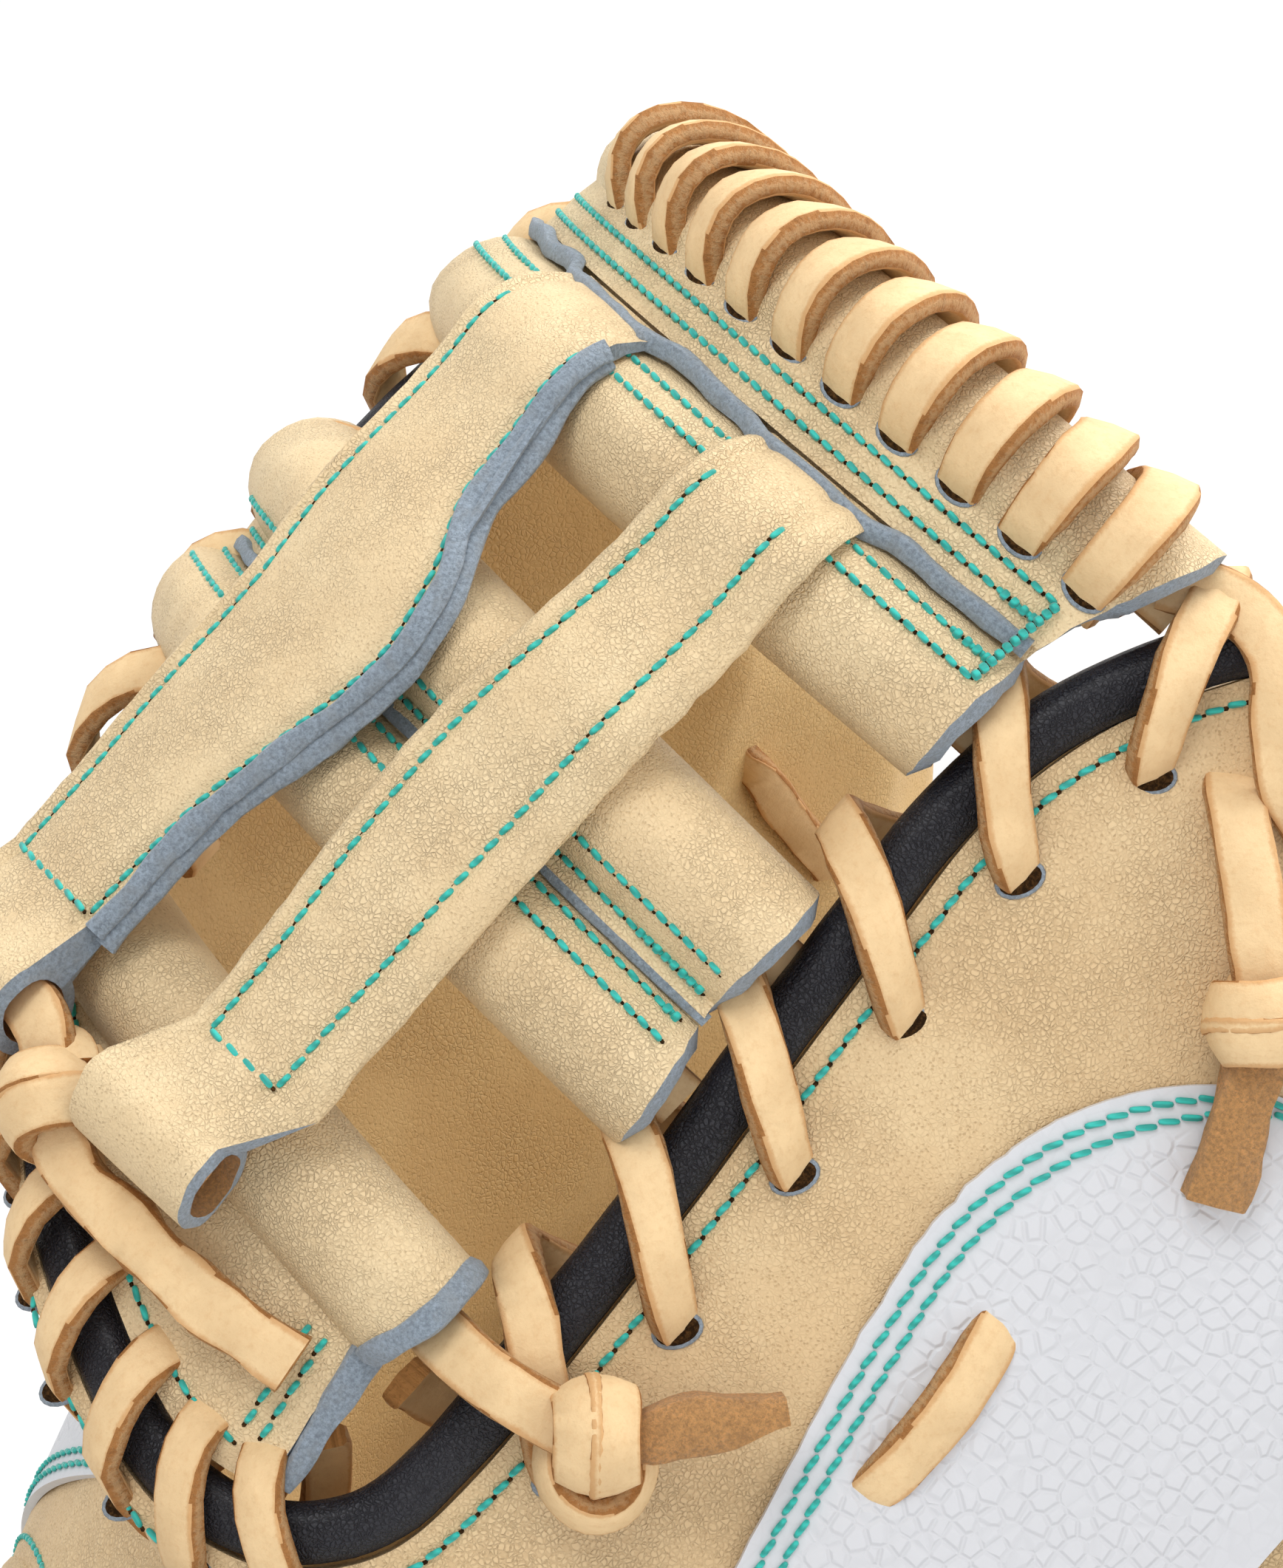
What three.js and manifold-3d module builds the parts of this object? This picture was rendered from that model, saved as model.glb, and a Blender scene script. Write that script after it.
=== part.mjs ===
// A softball catcher's mitt for the left hand, lying pocket down on its rim, with the back of the mitt up.
// Millimetres, +Z up. +Y runs along the pocket from the heel to the top of the web, and the thumb is on +X.
// Every leather piece is laid out on one curved master surface: a is the distance across the mitt from the
// ridge of the pocket, positive towards the thumb, y the distance along it, and h the height off the surface.
import * as THREE from "three";
import { mergeVertices } from "three/addons/utils/BufferGeometryUtils.js";
import Module from "manifold-3d";

const wasm = await Module();
wasm.setup();

// Master surface
const RIDGE_HEIGHT = 136; // the ridge of the pocket above the floor, at the web
const RIDGE_PEAK_Y = 70; // where along the mitt the ridge is highest
const RIDGE_BOW = 340; // radius of the ridge line over the web
const HEEL_START_Y = -20; // the ridge bends down faster from here to the heel
const HEEL_BOW = 300;
const CROWN_RADIUS = 74; // radius of the web and of the back of the mitt, across the ridge
const THUMB_TURN = THREE.MathUtils.degToRad(65); // where the crown runs out into the thumb wall
const FINGER_TURN = THREE.MathUtils.degToRad(70);
const WALL_RADIUS = 300; // the walls curl in slowly
const RIM_RISE = 9.4; // height of the back shell's rim above the floor

// Thicknesses
const LEATHER = 2.4;
const GAP = 0.35; // clearance between pieces that touch
const PANEL = 1.1; // textured panels sewn on the back
const BINDING_RADIUS = 3.3;
const LACE_WIDTH = 6.2;
const LACE_THICKNESS = 2.0;
const PAD_WEB = 11; // depth of the padded palm at the web
const PAD_RIM = 22; // depth at its outer rim
const PAD_PALM = 37; // depth of its pocket side under the hand
const HAND_SPACE = 21; // height of the hollow that the hand goes into

function ridgeHeight(y) {
  const bow = (RIDGE_PEAK_Y - Math.max(y, HEEL_START_Y)) ** 2 / (2 * RIDGE_BOW);
  if (y > HEEL_START_Y) return RIDGE_HEIGHT - bow;
  const past = HEEL_START_Y - y;
  const slope = (RIDGE_PEAK_Y - HEEL_START_Y) / RIDGE_BOW;
  return RIDGE_HEIGHT - bow - slope * past - past ** 2 / (2 * HEEL_BOW);
}

// Angle of the surface away from level, a mm across from the ridge, and its place in the section there.
function section(a) {
  const turn = a > 0 ? THUMB_TURN : FINGER_TURN;
  const crown = CROWN_RADIUS * turn;
  const across = Math.abs(a);
  if (across <= crown) {
    const angle = across / CROWN_RADIUS;
    return { angle, x: CROWN_RADIUS * Math.sin(angle), drop: CROWN_RADIUS * (1 - Math.cos(angle)) };
  }
  const angle = turn + (across - crown) / WALL_RADIUS;
  return {
    angle,
    x: CROWN_RADIUS * Math.sin(turn) + WALL_RADIUS * (Math.sin(angle) - Math.sin(turn)),
    drop: CROWN_RADIUS * (1 - Math.cos(turn)) + WALL_RADIUS * (Math.cos(turn) - Math.cos(angle)),
  };
}

// The edge of the web stands up like a brim round the fingers' side of its opening, and the back of the hand
// lies lower beyond it. Each row is a point on that edge and the way out across it.
const BRIM = [
  { a: -26, y: 130, outA: -1, outY: -0.05 },
  { a: -24, y: 98, outA: -0.939, outY: -0.343 },
  { a: -9, y: 57, outA: -0.731, outY: -0.682 },
  { a: 19, y: 27, outA: -0.565, outY: -0.825 },
  { a: 46, y: 8.5, outA: -0.316, outY: -0.949 },
  { a: 67, y: 1.5, outA: 0, outY: -1 },
];
const BRIM_DROP = 46;
const BRIM_WIDTH = 3;
const BRIM_REACH = 26; // how far out from the brim the drop takes

function sunkBelowBrim(a, y, z) {
  const out = Math.max(...BRIM.map((edge) => edge.outA * (a - edge.a) + edge.outY * (y - edge.y))) - BRIM_WIDTH;
  if (out <= 0) return 0;
  const { smoothstep } = THREE.MathUtils;
  const towardsThumb = 1 - smoothstep(a, 60, 100);
  const towardsTip = 1 - 0.75 * smoothstep(y, 40, 130);
  const towardsHeel = 1 - 0.7 * smoothstep(-y, 30, 130);
  const aboveFloor = smoothstep(z, 12, 80);
  const falling = Math.sin((Math.PI / 2) * Math.min(out / BRIM_REACH, 1));
  return BRIM_DROP * falling * towardsThumb * towardsTip * towardsHeel * aboveFloor;
}

function onMitt(a, y, h = 0) {
  const side = a > 0 ? 1 : -1;
  const { angle, x, drop } = section(a);
  const z = ridgeHeight(y) - drop;
  return new THREE.Vector3(
    side * (x + h * Math.sin(angle)), y, z - sunkBelowBrim(a, y, z) + h * Math.cos(angle));
}

// Distance across the mitt at which the surface comes down to a height above the floor.
function acrossAt(rise, y, side) {
  const target = ridgeHeight(y) - rise;
  const turn = side > 0 ? THUMB_TURN : FINGER_TURN;
  const crownDrop = CROWN_RADIUS * (1 - Math.cos(turn));
  if (target <= crownDrop) return side * CROWN_RADIUS * Math.acos(1 - target / CROWN_RADIUS);
  const wall = Math.acos(Math.cos(turn) - (target - crownDrop) / WALL_RADIUS) - turn;
  return side * (CROWN_RADIUS * turn + WALL_RADIUS * wall);
}

// Solids from rings and grids of points

function closedGeometry(points, triangles) {
  const geometry = new THREE.BufferGeometry();
  geometry.setAttribute("position", new THREE.Float32BufferAttribute(points.flatMap((p) => [p.x, p.y, p.z]), 3));
  geometry.setIndex(triangles);
  return geometry;
}

// Rings of points along a path, each ring the outer outline and then any holes through it. The caps are
// triangulated in the flat outline given by capShape, a list of loops of Vector2.
function loft(rings, loopSizes, capShape, closed = false) {
  const ringSize = rings[0].length;
  const triangles = [];
  const last = closed ? rings.length : rings.length - 1;
  for (let i = 0; i < last; i++) {
    const here = i * ringSize;
    const next = ((i + 1) % rings.length) * ringSize;
    let start = 0;
    for (const size of loopSizes) {
      for (let k = 0; k < size; k++) {
        const p = start + k;
        const q = start + ((k + 1) % size);
        triangles.push(here + p, here + q, next + q, here + p, next + q, next + p);
      }
      start += size;
    }
  }
  if (!closed) {
    const [outline, ...holes] = capShape;
    const end = (rings.length - 1) * ringSize;
    for (const [p, q, r] of THREE.ShapeUtils.triangulateShape(outline, holes)) {
      triangles.push(p, r, q, end + p, end + q, end + r);
    }
  }
  return closedGeometry(rings.flat(), triangles);
}

// A sheet between two grids of points, top and bottom, with walls round its edge.
function sheet(top, bottom) {
  const rows = top.length;
  const columns = top[0].length;
  const points = [...top.flat(), ...bottom.flat()];
  const under = rows * columns;
  const at = (i, j) => i * columns + j;
  const triangles = [];
  for (let i = 0; i < rows - 1; i++) {
    for (let j = 0; j < columns - 1; j++) {
      const [p, q, r, s] = [at(i, j), at(i, j + 1), at(i + 1, j + 1), at(i + 1, j)];
      triangles.push(p, q, r, p, r, s, under + p, under + r, under + q, under + p, under + s, under + r);
    }
  }
  const edge = [];
  for (let j = 0; j < columns - 1; j++) edge.push(at(0, j));
  for (let i = 0; i < rows - 1; i++) edge.push(at(i, columns - 1));
  for (let j = columns - 1; j > 0; j--) edge.push(at(rows - 1, j));
  for (let i = rows - 1; i > 0; i--) edge.push(at(i, 0));
  edge.forEach((p, k) => {
    const q = edge[(k + 1) % edge.length];
    triangles.push(p, under + p, under + q, p, under + q, q);
  });
  return closedGeometry(points, triangles);
}

// Boolean work on closed geometries

const CLOSEST = 0.01; // points nearer than this become one
const THINNEST = 0.002; // no triangle that can be helped is thinner
const SLIVER_PASSES = 6;

function solidOf(geometry) {
  const bare = new THREE.BufferGeometry().setAttribute("position", geometry.getAttribute("position"));
  bare.setIndex(geometry.getIndex());
  const merged = mergeVertices(bare, 1e-4);
  const made = new wasm.Manifold(new wasm.Mesh({
    numProp: 3,
    vertProperties: merged.attributes.position.array,
    triVerts: new Uint32Array(merged.index.array),
  }));
  if (made.volume() > 0) return made;
  const flipped = new Uint32Array(merged.index.array);
  for (let i = 0; i < flipped.length; i += 3) [flipped[i + 1], flipped[i + 2]] = [flipped[i + 2], flipped[i + 1]];
  return new wasm.Manifold(new wasm.Mesh({
    numProp: 3,
    vertProperties: merged.attributes.position.array,
    triVerts: flipped,
  }));
}

// The thin triangles that a cut leaves give their long edge up to the neighbour across it.
function withoutSlivers(triangles, pointAt) {
  for (let pass = 0; pass < SLIVER_PASSES; pass++) {
    const byEdge = new Map();
    triangles.forEach((corners, n) => corners.forEach((p, k) => byEdge.set(`${p},${corners[(k + 1) % 3]}`, n)));
    const touched = new Set();
    triangles.forEach((corners, n) => {
      const lengths = corners.map((p, k) => pointAt(p).distanceTo(pointAt(corners[(k + 1) % 3])));
      const k = lengths.indexOf(Math.max(...lengths));
      const [a, b, c] = [corners[k], corners[(k + 1) % 3], corners[(k + 2) % 3]];
      const area = new THREE.Triangle(pointAt(a), pointAt(b), pointAt(c)).getArea();
      const m = byEdge.get(`${b},${a}`);
      if ((2 * area) / lengths[k] > THINNEST || touched.has(n) || touched.has(m)) return;
      const d = triangles[m].find((corner) => corner !== a && corner !== b);
      if (byEdge.has(`${c},${d}`) || byEdge.has(`${d},${c}`)) return;
      triangles[n] = [a, d, c];
      triangles[m] = [d, b, c];
      for (const one of [n, m]) touched.add(one);
    });
  }
  return triangles;
}

function geometryOf(solid) {
  const mesh = solid.getMesh();
  const raw = new THREE.BufferGeometry();
  raw.setAttribute("position", new THREE.BufferAttribute(Float32Array.from(mesh.vertProperties), 3));
  raw.setIndex(new THREE.BufferAttribute(Uint32Array.from(mesh.triVerts), 1));
  const geometry = mergeVertices(raw, CLOSEST);
  const positions = geometry.getAttribute("position");
  const index = geometry.getIndex().array;
  const corners = Array.from({ length: index.length / 3 }, (_, i) => [...index.subarray(3 * i, 3 * i + 3)]);
  const kept = corners.filter(([p, q, r]) => p !== q && q !== r && r !== p);
  const pointAt = (i) => new THREE.Vector3().fromBufferAttribute(positions, i);
  geometry.setIndex(withoutSlivers(kept, pointAt).flat());
  return geometry;
}

// The largest of the bodies that a cut leaves.
function mainBody(solid) {
  return solid.decompose().reduce((best, body) => (body.volume() > best.volume() ? body : best));
}

// Flat bands: laces and straps

const BAND_CORNERS = [[1, 1], [-1, 1], [-1, -1], [1, -1]];

// A band along a list of {a, y, h} points on the mitt. Its flat side faces off the surface, or away from
// the point's core where it winds round one.
function band(path, width = LACE_WIDTH, thickness = LACE_THICKNESS, closed = false) {
  const points = path.map(({ a, y, h }) => onMitt(a, y, h));
  const count = points.length;
  const rings = points.map((p, i) => {
    const before = closed ? points[(i + count - 1) % count] : points[Math.max(i - 1, 0)];
    const after = closed ? points[(i + 1) % count] : points[Math.min(i + 1, count - 1)];
    const along = after.clone().sub(before).normalize();
    const { a, y, h, core } = path[i];
    const out = core
      ? p.clone().sub(onMitt(core.a, core.y, core.h))
      : onMitt(a, y, h + 1).sub(onMitt(a, y, h));
    const side = new THREE.Vector3().crossVectors(along, out).normalize();
    const up = new THREE.Vector3().crossVectors(side, along).normalize();
    return BAND_CORNERS.map(([s, u]) => p.clone()
      .addScaledVector(side, (s * width) / 2)
      .addScaledVector(up, (u * thickness) / 2));
  });
  return loft(rings, [4], [BAND_CORNERS.map(([s, u]) => new THREE.Vector2(s, u))], closed);
}

// The space that a lace takes up where it passes through leather.
const laceSpace = (path) => solidOf(band(path, LACE_WIDTH + 2.4 * GAP, LACE_THICKNESS + 2.4 * GAP));

// The padded body of the mitt is a horseshoe: each row joins a point on the edge of the web's opening to one
// on the outer rim, from the fingertips, down round the heel, to the tip of the thumb. Where the rim lies on
// the floor its distance across comes from the surface, on the side given.
const FINGER = -1;
const THUMB = 1;
const HORSESHOE = [
  { webAcross: -27, webY: 145, rimAcross: -52, rimY: 152 },
  { webAcross: -26, webY: 134, rimAcross: -86, rimY: 149 },
  { webAcross: -25, webY: 117, rimAcross: -122, rimY: 138 },
  { webAcross: -24, webY: 98, rimAcross: -152, rimY: 118 },
  { webAcross: -19, webY: 78, rimSide: FINGER, rimY: 94 },
  { webAcross: -9, webY: 57, rimSide: FINGER, rimY: 70 },
  { webAcross: 3, webY: 41, rimSide: FINGER, rimY: 34 },
  { webAcross: 19, webY: 27, rimSide: FINGER, rimY: -4 },
  { webAcross: 34, webY: 15, rimSide: FINGER, rimY: -42 },
  { webAcross: 46, webY: 8.5, rimSide: FINGER, rimY: -82 },
  { webAcross: 54, webY: 4.8, rimSide: FINGER, rimY: -118 },
  { webAcross: 60, webY: 2.6, rimAcross: -60, rimY: -140 },
  { webAcross: 67, webY: 1.5, rimAcross: -20, rimY: -146 },
  { webAcross: 74, webY: 2.2, rimAcross: 22, rimY: -146 },
  { webAcross: 80, webY: 4.2, rimAcross: 60, rimY: -140 },
  { webAcross: 86, webY: 8.5, rimSide: THUMB, rimY: -118 },
  { webAcross: 91, webY: 15, rimSide: THUMB, rimY: -84 },
  { webAcross: 94, webY: 26, rimSide: THUMB, rimY: -48 },
  { webAcross: 95.5, webY: 44, rimSide: THUMB, rimY: -10 },
  { webAcross: 95.6, webY: 64, rimSide: THUMB, rimY: 28 },
  { webAcross: 94.2, webY: 82, rimSide: THUMB, rimY: 66 },
  { webAcross: 92.5, webY: 99, rimAcross: 169.5, rimY: 102 },
  { webAcross: 90.8, webY: 114, rimAcross: 162, rimY: 130 },
  { webAcross: 92.6, webY: 130, rimAcross: 141, rimY: 148 },
  { webAcross: 98, webY: 143, rimAcross: 120, rimY: 156 },
];

const WEB_EDGE = new THREE.CatmullRomCurve3(HORSESHOE.map((r) => new THREE.Vector3(r.webAcross, r.webY, 0)));

function rimCurve(rise) {
  return new THREE.CatmullRomCurve3(HORSESHOE.map((r) => new THREE.Vector3(
    r.rimAcross ?? acrossAt(rise, r.rimY, r.rimSide), r.rimY, 0)));
}

const SHELL_RIM = rimCurve(RIM_RISE);
const PALM_RIM = rimCurve(-3); // below the floor, where the palm is then cut flat

// A point of the horseshoe in surface coordinates: s runs 0 to 1 from fingertips to thumb tip, and t 0 to 1
// from the web's opening to the outer rim.
function horseshoe(s, t, rimLine = SHELL_RIM) {
  const web = WEB_EDGE.getPoint(s);
  const rim = rimLine.getPoint(s);
  return { a: THREE.MathUtils.lerp(web.x, rim.x, t), y: THREE.MathUtils.lerp(web.y, rim.y, t) };
}

const ROWS = 30;
const COLUMNS = 9;
const columnShare = (j) => (j / COLUMNS) ** 1.5; // closer together beside the web

// Points of the horseshoe at a height given for each s and t, over all its rows and columns or some of them.
function horseshoeGrid(rimLine, height, rows = [0, ROWS], columns = [0, COLUMNS]) {
  return Array.from({ length: rows[1] - rows[0] + 1 }, (_, i) => (
    Array.from({ length: columns[1] - columns[0] + 1 }, (__, j) => {
      const s = (rows[0] + i) / ROWS;
      const t = columnShare(columns[0] + j);
      const { a, y } = horseshoe(s, t, rimLine);
      return onMitt(a, y, height(s, t));
    })));
}

// How far a point lies from both edges and from the two tips, 0 at them and 1 well inside.
function inside(s, t) {
  const fromEdges = Math.min(t, 1 - t) / 0.3;
  const fromTips = Math.min(s, 1 - s) / 0.12;
  return THREE.MathUtils.smoothstep(Math.min(fromEdges, fromTips), 0, 1);
}

// At the heel the hollow stays open to the rim, for the wrist.
function atWrist(s, t) {
  const heel = 1 - THREE.MathUtils.smoothstep(Math.abs(s - 0.52), 0.04, 0.1);
  return heel * THREE.MathUtils.smoothstep(t, 0.35, 0.6);
}

// The palm is one padded piece, with the hollow for the hand in its back and the pocket in its front.
function palmTop(s, t) {
  const lip = 2.4 * THREE.MathUtils.smoothstep(t, 0.88, 0.93); // room for the binding round the rim
  return -LEATHER - GAP - Math.max(HAND_SPACE * Math.max(inside(s, t), atWrist(s, t)), lip);
}

function palmBottom(s, t) {
  const edge = Math.min(t, s * 4, (1 - s) * 4);
  const rounding = 5 * (1 - THREE.MathUtils.smoothstep(edge, 0, 0.12));
  const rim = THREE.MathUtils.lerp(PAD_WEB, PAD_RIM, THREE.MathUtils.smoothstep(t, 0, 1));
  return -THREE.MathUtils.lerp(rim, PAD_PALM, Math.max(inside(s, t), atWrist(s, t))) + rounding;
}

function boxSolid(lowX, highX, lowY, highY, lowZ, highZ) {
  const geometry = new THREE.BoxGeometry(highX - lowX, highY - lowY, highZ - lowZ);
  geometry.translate((lowX + highX) / 2, (lowY + highY) / 2, (lowZ + highZ) / 2);
  return solidOf(geometry);
}

const BELOW_FLOOR = boxSolid(-300, 300, -300, 300, -100, 0);

// The hand goes in here, between the back of the mitt and the strap across the wrist.
const HAND_OPENING = { x: -8, y: -66, halfWide: 42, halfLong: 38 };

function ovalPrism({ x, y, halfWide, halfLong }, sides = 24) {
  const oval = Array.from({ length: sides }, (_, k) => {
    const angle = (2 * Math.PI * k) / sides;
    return new THREE.Vector2(x + halfWide * Math.cos(angle), y + halfLong * Math.sin(angle));
  });
  return solidOf(new THREE.ExtrudeGeometry(new THREE.Shape(oval), { depth: 200, bevelEnabled: false }));
}

// Binding: one roll round the whole edge, off the edges of the shell.
const BINDING_STEPS = 96;
const BINDING_SIDES = 6;
const BINDING_OUTSET = BINDING_RADIUS + GAP;
const BINDING_DEPTH = -LEATHER / 2;

const edgeLoop = [
  ...Array.from({ length: 41 }, (_, i) => horseshoe(i / 40, 0)),
  ...Array.from({ length: 41 }, (_, i) => horseshoe(1 - i / 40, 1)),
];
const bindingCurve = new THREE.CatmullRomCurve3(
  edgeLoop.map(({ a, y }) => new THREE.Vector3(a, y, 0)), true, "chordal");
bindingCurve.arcLengthDivisions = 800;

// A point a distance off the edge of the shells, outwards, a share u of the way round the loop.
function offEdge(u, outset) {
  const p = bindingCurve.getPointAt(((u % 1) + 1) % 1);
  const along = bindingCurve.getTangentAt(((u % 1) + 1) % 1);
  return { a: p.x - along.y * outset, y: p.y + along.x * outset };
}

function bindingGeometry(radius) {
  const rings = Array.from({ length: BINDING_STEPS }, (_, i) => {
    const u = i / BINDING_STEPS;
    const { a, y } = offEdge(u, BINDING_OUTSET);
    const further = offEdge(u, BINDING_OUTSET + 1);
    const middle = onMitt(a, y, BINDING_DEPTH);
    const outwards = onMitt(further.a, further.y, BINDING_DEPTH).sub(middle).normalize();
    const up = onMitt(a, y, BINDING_DEPTH + 1).sub(middle);
    return Array.from({ length: BINDING_SIDES }, (_, k) => {
      const angle = (2 * Math.PI * (k + 0.5)) / BINDING_SIDES;
      return middle.clone()
        .addScaledVector(outwards, radius * Math.cos(angle))
        .addScaledVector(up, radius * Math.sin(angle));
    });
  });
  return loft(rings, [BINDING_SIDES], null, true);
}

// The share of the way round at which the web's edge comes nearest a point.
function shareNear(a, y) {
  let best = 0;
  let least = Infinity;
  for (let i = 0; i <= 600; i++) {
    const p = bindingCurve.getPointAt(i / 1000);
    const distance = Math.hypot(p.x - a, p.y - y);
    if (distance < least) {
      least = distance;
      best = i / 1000;
    }
  }
  return best;
}

// Web bars: leather rolled into two tubes that meet along a sewn seam.
const TUBE_SIDES = 11;
const HOLE_SIDES = 8;
const BAR_STATIONS = 8;

function arc(centre, r, from, to, count) {
  return Array.from({ length: count + 1 }, (_, i) => {
    const angle = from + ((to - from) * i) / count;
    return new THREE.Vector2(centre.y + r * Math.cos(angle), centre.h + r * Math.sin(angle));
  });
}

function tubeHole(tube) {
  return arc(tube, tube.r - LEATHER, 0, -2 * Math.PI * (1 - 1 / HOLE_SIDES), HOLE_SIDES - 1);
}

// A bar's outline along the mitt: an upper and a lower tube, the upper one's leather laid over the lower's
// up to the seam.
function barOutline({ upper, lower, seamY, neck, flap }) {
  const upperTop = Math.asin(flap / upper.r);
  const upperUnder = Math.asin(neck / upper.r);
  const lowerNeck = Math.asin(neck / lower.r);
  return [
    ...arc(upper, upper.r, -Math.PI + upperUnder, Math.PI - upperTop, TUBE_SIDES),
    new THREE.Vector2(seamY, flap),
    new THREE.Vector2(seamY, neck),
    ...arc(lower, lower.r, lowerNeck, 2 * Math.PI - lowerNeck, TUBE_SIDES),
  ];
}

// Extrudes an outline in (y, h) across the mitt, between the distances across given for each y. The bend
// moves it along the mitt by a little for each distance across.
function acrossMitt(outlineAt, holesAt, leftOf, rightOf, stations, bend = () => 0) {
  const rings = [];
  let cap = null;
  for (let i = 0; i < stations; i++) {
    const share = i / (stations - 1);
    const loops = [outlineAt(share), ...holesAt(share)];
    cap ??= loops;
    rings.push(loops.flat().map((p) => {
      const a = THREE.MathUtils.lerp(leftOf(p.x), rightOf(p.x), share);
      return onMitt(a, p.x + bend(a, p.x), p.y);
    }));
  }
  return loft(rings, cap.map((loop) => loop.length), cap);
}

// Straight lines between the rows of a table of {y, a}, highest y first.
function alongTable(rows) {
  return (y) => {
    const below = rows.findIndex((row) => row.y <= y);
    if (below === 0) return rows[0].a;
    if (below < 0) return rows.at(-1).a;
    const [low, high] = [rows[below], rows[below - 1]];
    return THREE.MathUtils.mapLinear(y, low.y, high.y, low.a, high.a);
  };
}

const barThumbEnd = alongTable([
  { y: 156, a: 88 }, { y: 143, a: 84.5 }, { y: 131, a: 82 }, { y: 112, a: 82.5 }, { y: 94, a: 85 },
  { y: 81, a: 84.5 }, { y: 62, a: 86 }, { y: 42, a: 82.5 }, { y: 34, a: 81 }, { y: 24, a: 76.5 }, { y: 11, a: 77 },
]);
const barFingerEnd = alongTable([
  { y: 156, a: -22 }, { y: 140, a: -20 }, { y: 112, a: -19.5 }, { y: 95, a: -18 }, { y: 75, a: -12 }, { y: 62, a: -6 },
]);

const TOP_BAR = {
  upper: { y: 145, h: 0, r: 7.5 }, lower: { y: 121.5, h: 0, r: 8.8 }, seamY: 131.5, neck: 2.5, flap: 4.9,
};

// The top bar bows up towards the fingers.
const topBend = (a) => 5.5 * ((82 - a) / 100) ** 2 - 1.2;

function midBar(share) {
  const seamY = THREE.MathUtils.lerp(85, 78.5, share);
  return {
    upper: { y: seamY + THREE.MathUtils.lerp(10.6, 9.4, share), h: 0, r: 8.4 },
    lower: { y: seamY - 8.4, h: 0, r: 7.8 },
    seamY,
    neck: 2.5,
    flap: 3.4,
  };
}

// The lowest bar is one tube whose leather runs on down to the crotch of the web as a flap.
const BASE_TUBE_RADIUS = 7.6;
const FLAP_HALF = 1.7;
const baseTubeY = (a) => THREE.MathUtils.mapLinear(a, 18, 82, 43.5, 35);
const CROTCH = [
  { a: 84, y: 15.5 }, { a: 75, y: 10.5 }, { a: 67, y: 9.5 }, { a: 59, y: 11.5 }, { a: 50, y: 15.5 }, { a: 42, y: 20 },
  { a: 36, y: 23.5 }, { a: 28, y: 29.5 }, { a: 18, y: 35 },
];

function crotchY(a) {
  const below = CROTCH.findIndex((row) => row.a <= a);
  if (below === 0) return CROTCH[0].y;
  const [low, high] = [CROTCH[below], CROTCH[below - 1]];
  return THREE.MathUtils.mapLinear(a, low.a, high.a, low.y, high.y);
}

const BASE_LEFT = 18.5;
const BASE_RIGHT = 77;

function baseOutline(share) {
  const a = THREE.MathUtils.lerp(BASE_LEFT, BASE_RIGHT, share);
  const tube = { y: baseTubeY(a), h: 0 };
  const meet = Math.asin(FLAP_HALF / BASE_TUBE_RADIUS);
  const low = Math.min(crotchY(a), tube.y - BASE_TUBE_RADIUS - 0.4);
  return [
    ...arc(tube, BASE_TUBE_RADIUS, -Math.PI + meet, Math.PI - meet, TUBE_SIDES + 2),
    new THREE.Vector2(low, FLAP_HALF),
    new THREE.Vector2(low, -FLAP_HALF),
  ];
}

function baseHoles(share) {
  const a = THREE.MathUtils.lerp(BASE_LEFT, BASE_RIGHT, share);
  return [tubeHole({ y: baseTubeY(a), h: 0, r: BASE_TUBE_RADIUS })];
}

// Posts: two straps down the web, over the bars, from under the top bar's flap to a rolled lower end.
const POST_THICKNESS = 3.6;
const POST_END = { y: 32.6, h: 12.2, r: 5.5, wall: 1.6 };
const postBend = (a, y) => topBend(a) * THREE.MathUtils.smoothstep(y, 100, 118);
const POST_LINE = [
  // y, underside
  { y: 131.1, under: 3, thick: 1.9 },
  { y: 127.4, under: 7.6, thick: 2.6 },
  { y: 121.5, under: 9.3, thick: POST_THICKNESS },
  { y: 112, under: 8.6, thick: POST_THICKNESS },
  { y: 95, under: 9.5, thick: POST_THICKNESS },
  { y: 83, under: 8.9, thick: POST_THICKNESS },
  { y: 69, under: 9, thick: POST_THICKNESS },
  { y: 56, under: 9.1, thick: POST_THICKNESS },
  { y: 45, under: 9.8, thick: POST_THICKNESS },
];

function postOutline() {
  const top = POST_LINE.map((row) => new THREE.Vector2(row.y, row.under + row.thick));
  const under = POST_LINE.map((row) => new THREE.Vector2(row.y, row.under)).reverse();
  const end = arc(POST_END, POST_END.r, THREE.MathUtils.degToRad(50), THREE.MathUtils.degToRad(335), 11);
  return [...top, ...end, ...under];
}

const postHole = () => [arc(POST_END, POST_END.r - POST_END.wall, 0, -2 * Math.PI * (1 - 1 / HOLE_SIDES), HOLE_SIDES - 1)];

const POSTS = {
  post_finger: {
    left: alongTable([{ y: 134, a: 8 }, { y: 116, a: 10 }, { y: 86, a: 14 }, { y: 63, a: 14 }, { y: 28, a: 13 }]),
    right: alongTable([
      { y: 131, a: 27 }, { y: 106, a: 31 }, { y: 96, a: 36 }, { y: 86, a: 38 }, { y: 74, a: 36 }, { y: 60, a: 32.5 },
      { y: 44, a: 31 }, { y: 28, a: 30 },
    ]),
  },
  post_thumb: {
    left: alongTable([{ y: 130, a: 45 }, { y: 103, a: 46 }, { y: 82, a: 45 }, { y: 44, a: 46 }, { y: 38, a: 43 }]),
    right: alongTable([{ y: 130, a: 61 }, { y: 106, a: 63 }, { y: 69, a: 63 }, { y: 43, a: 62 }, { y: 28, a: 62 }]),
  },
};

// Laces

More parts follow.
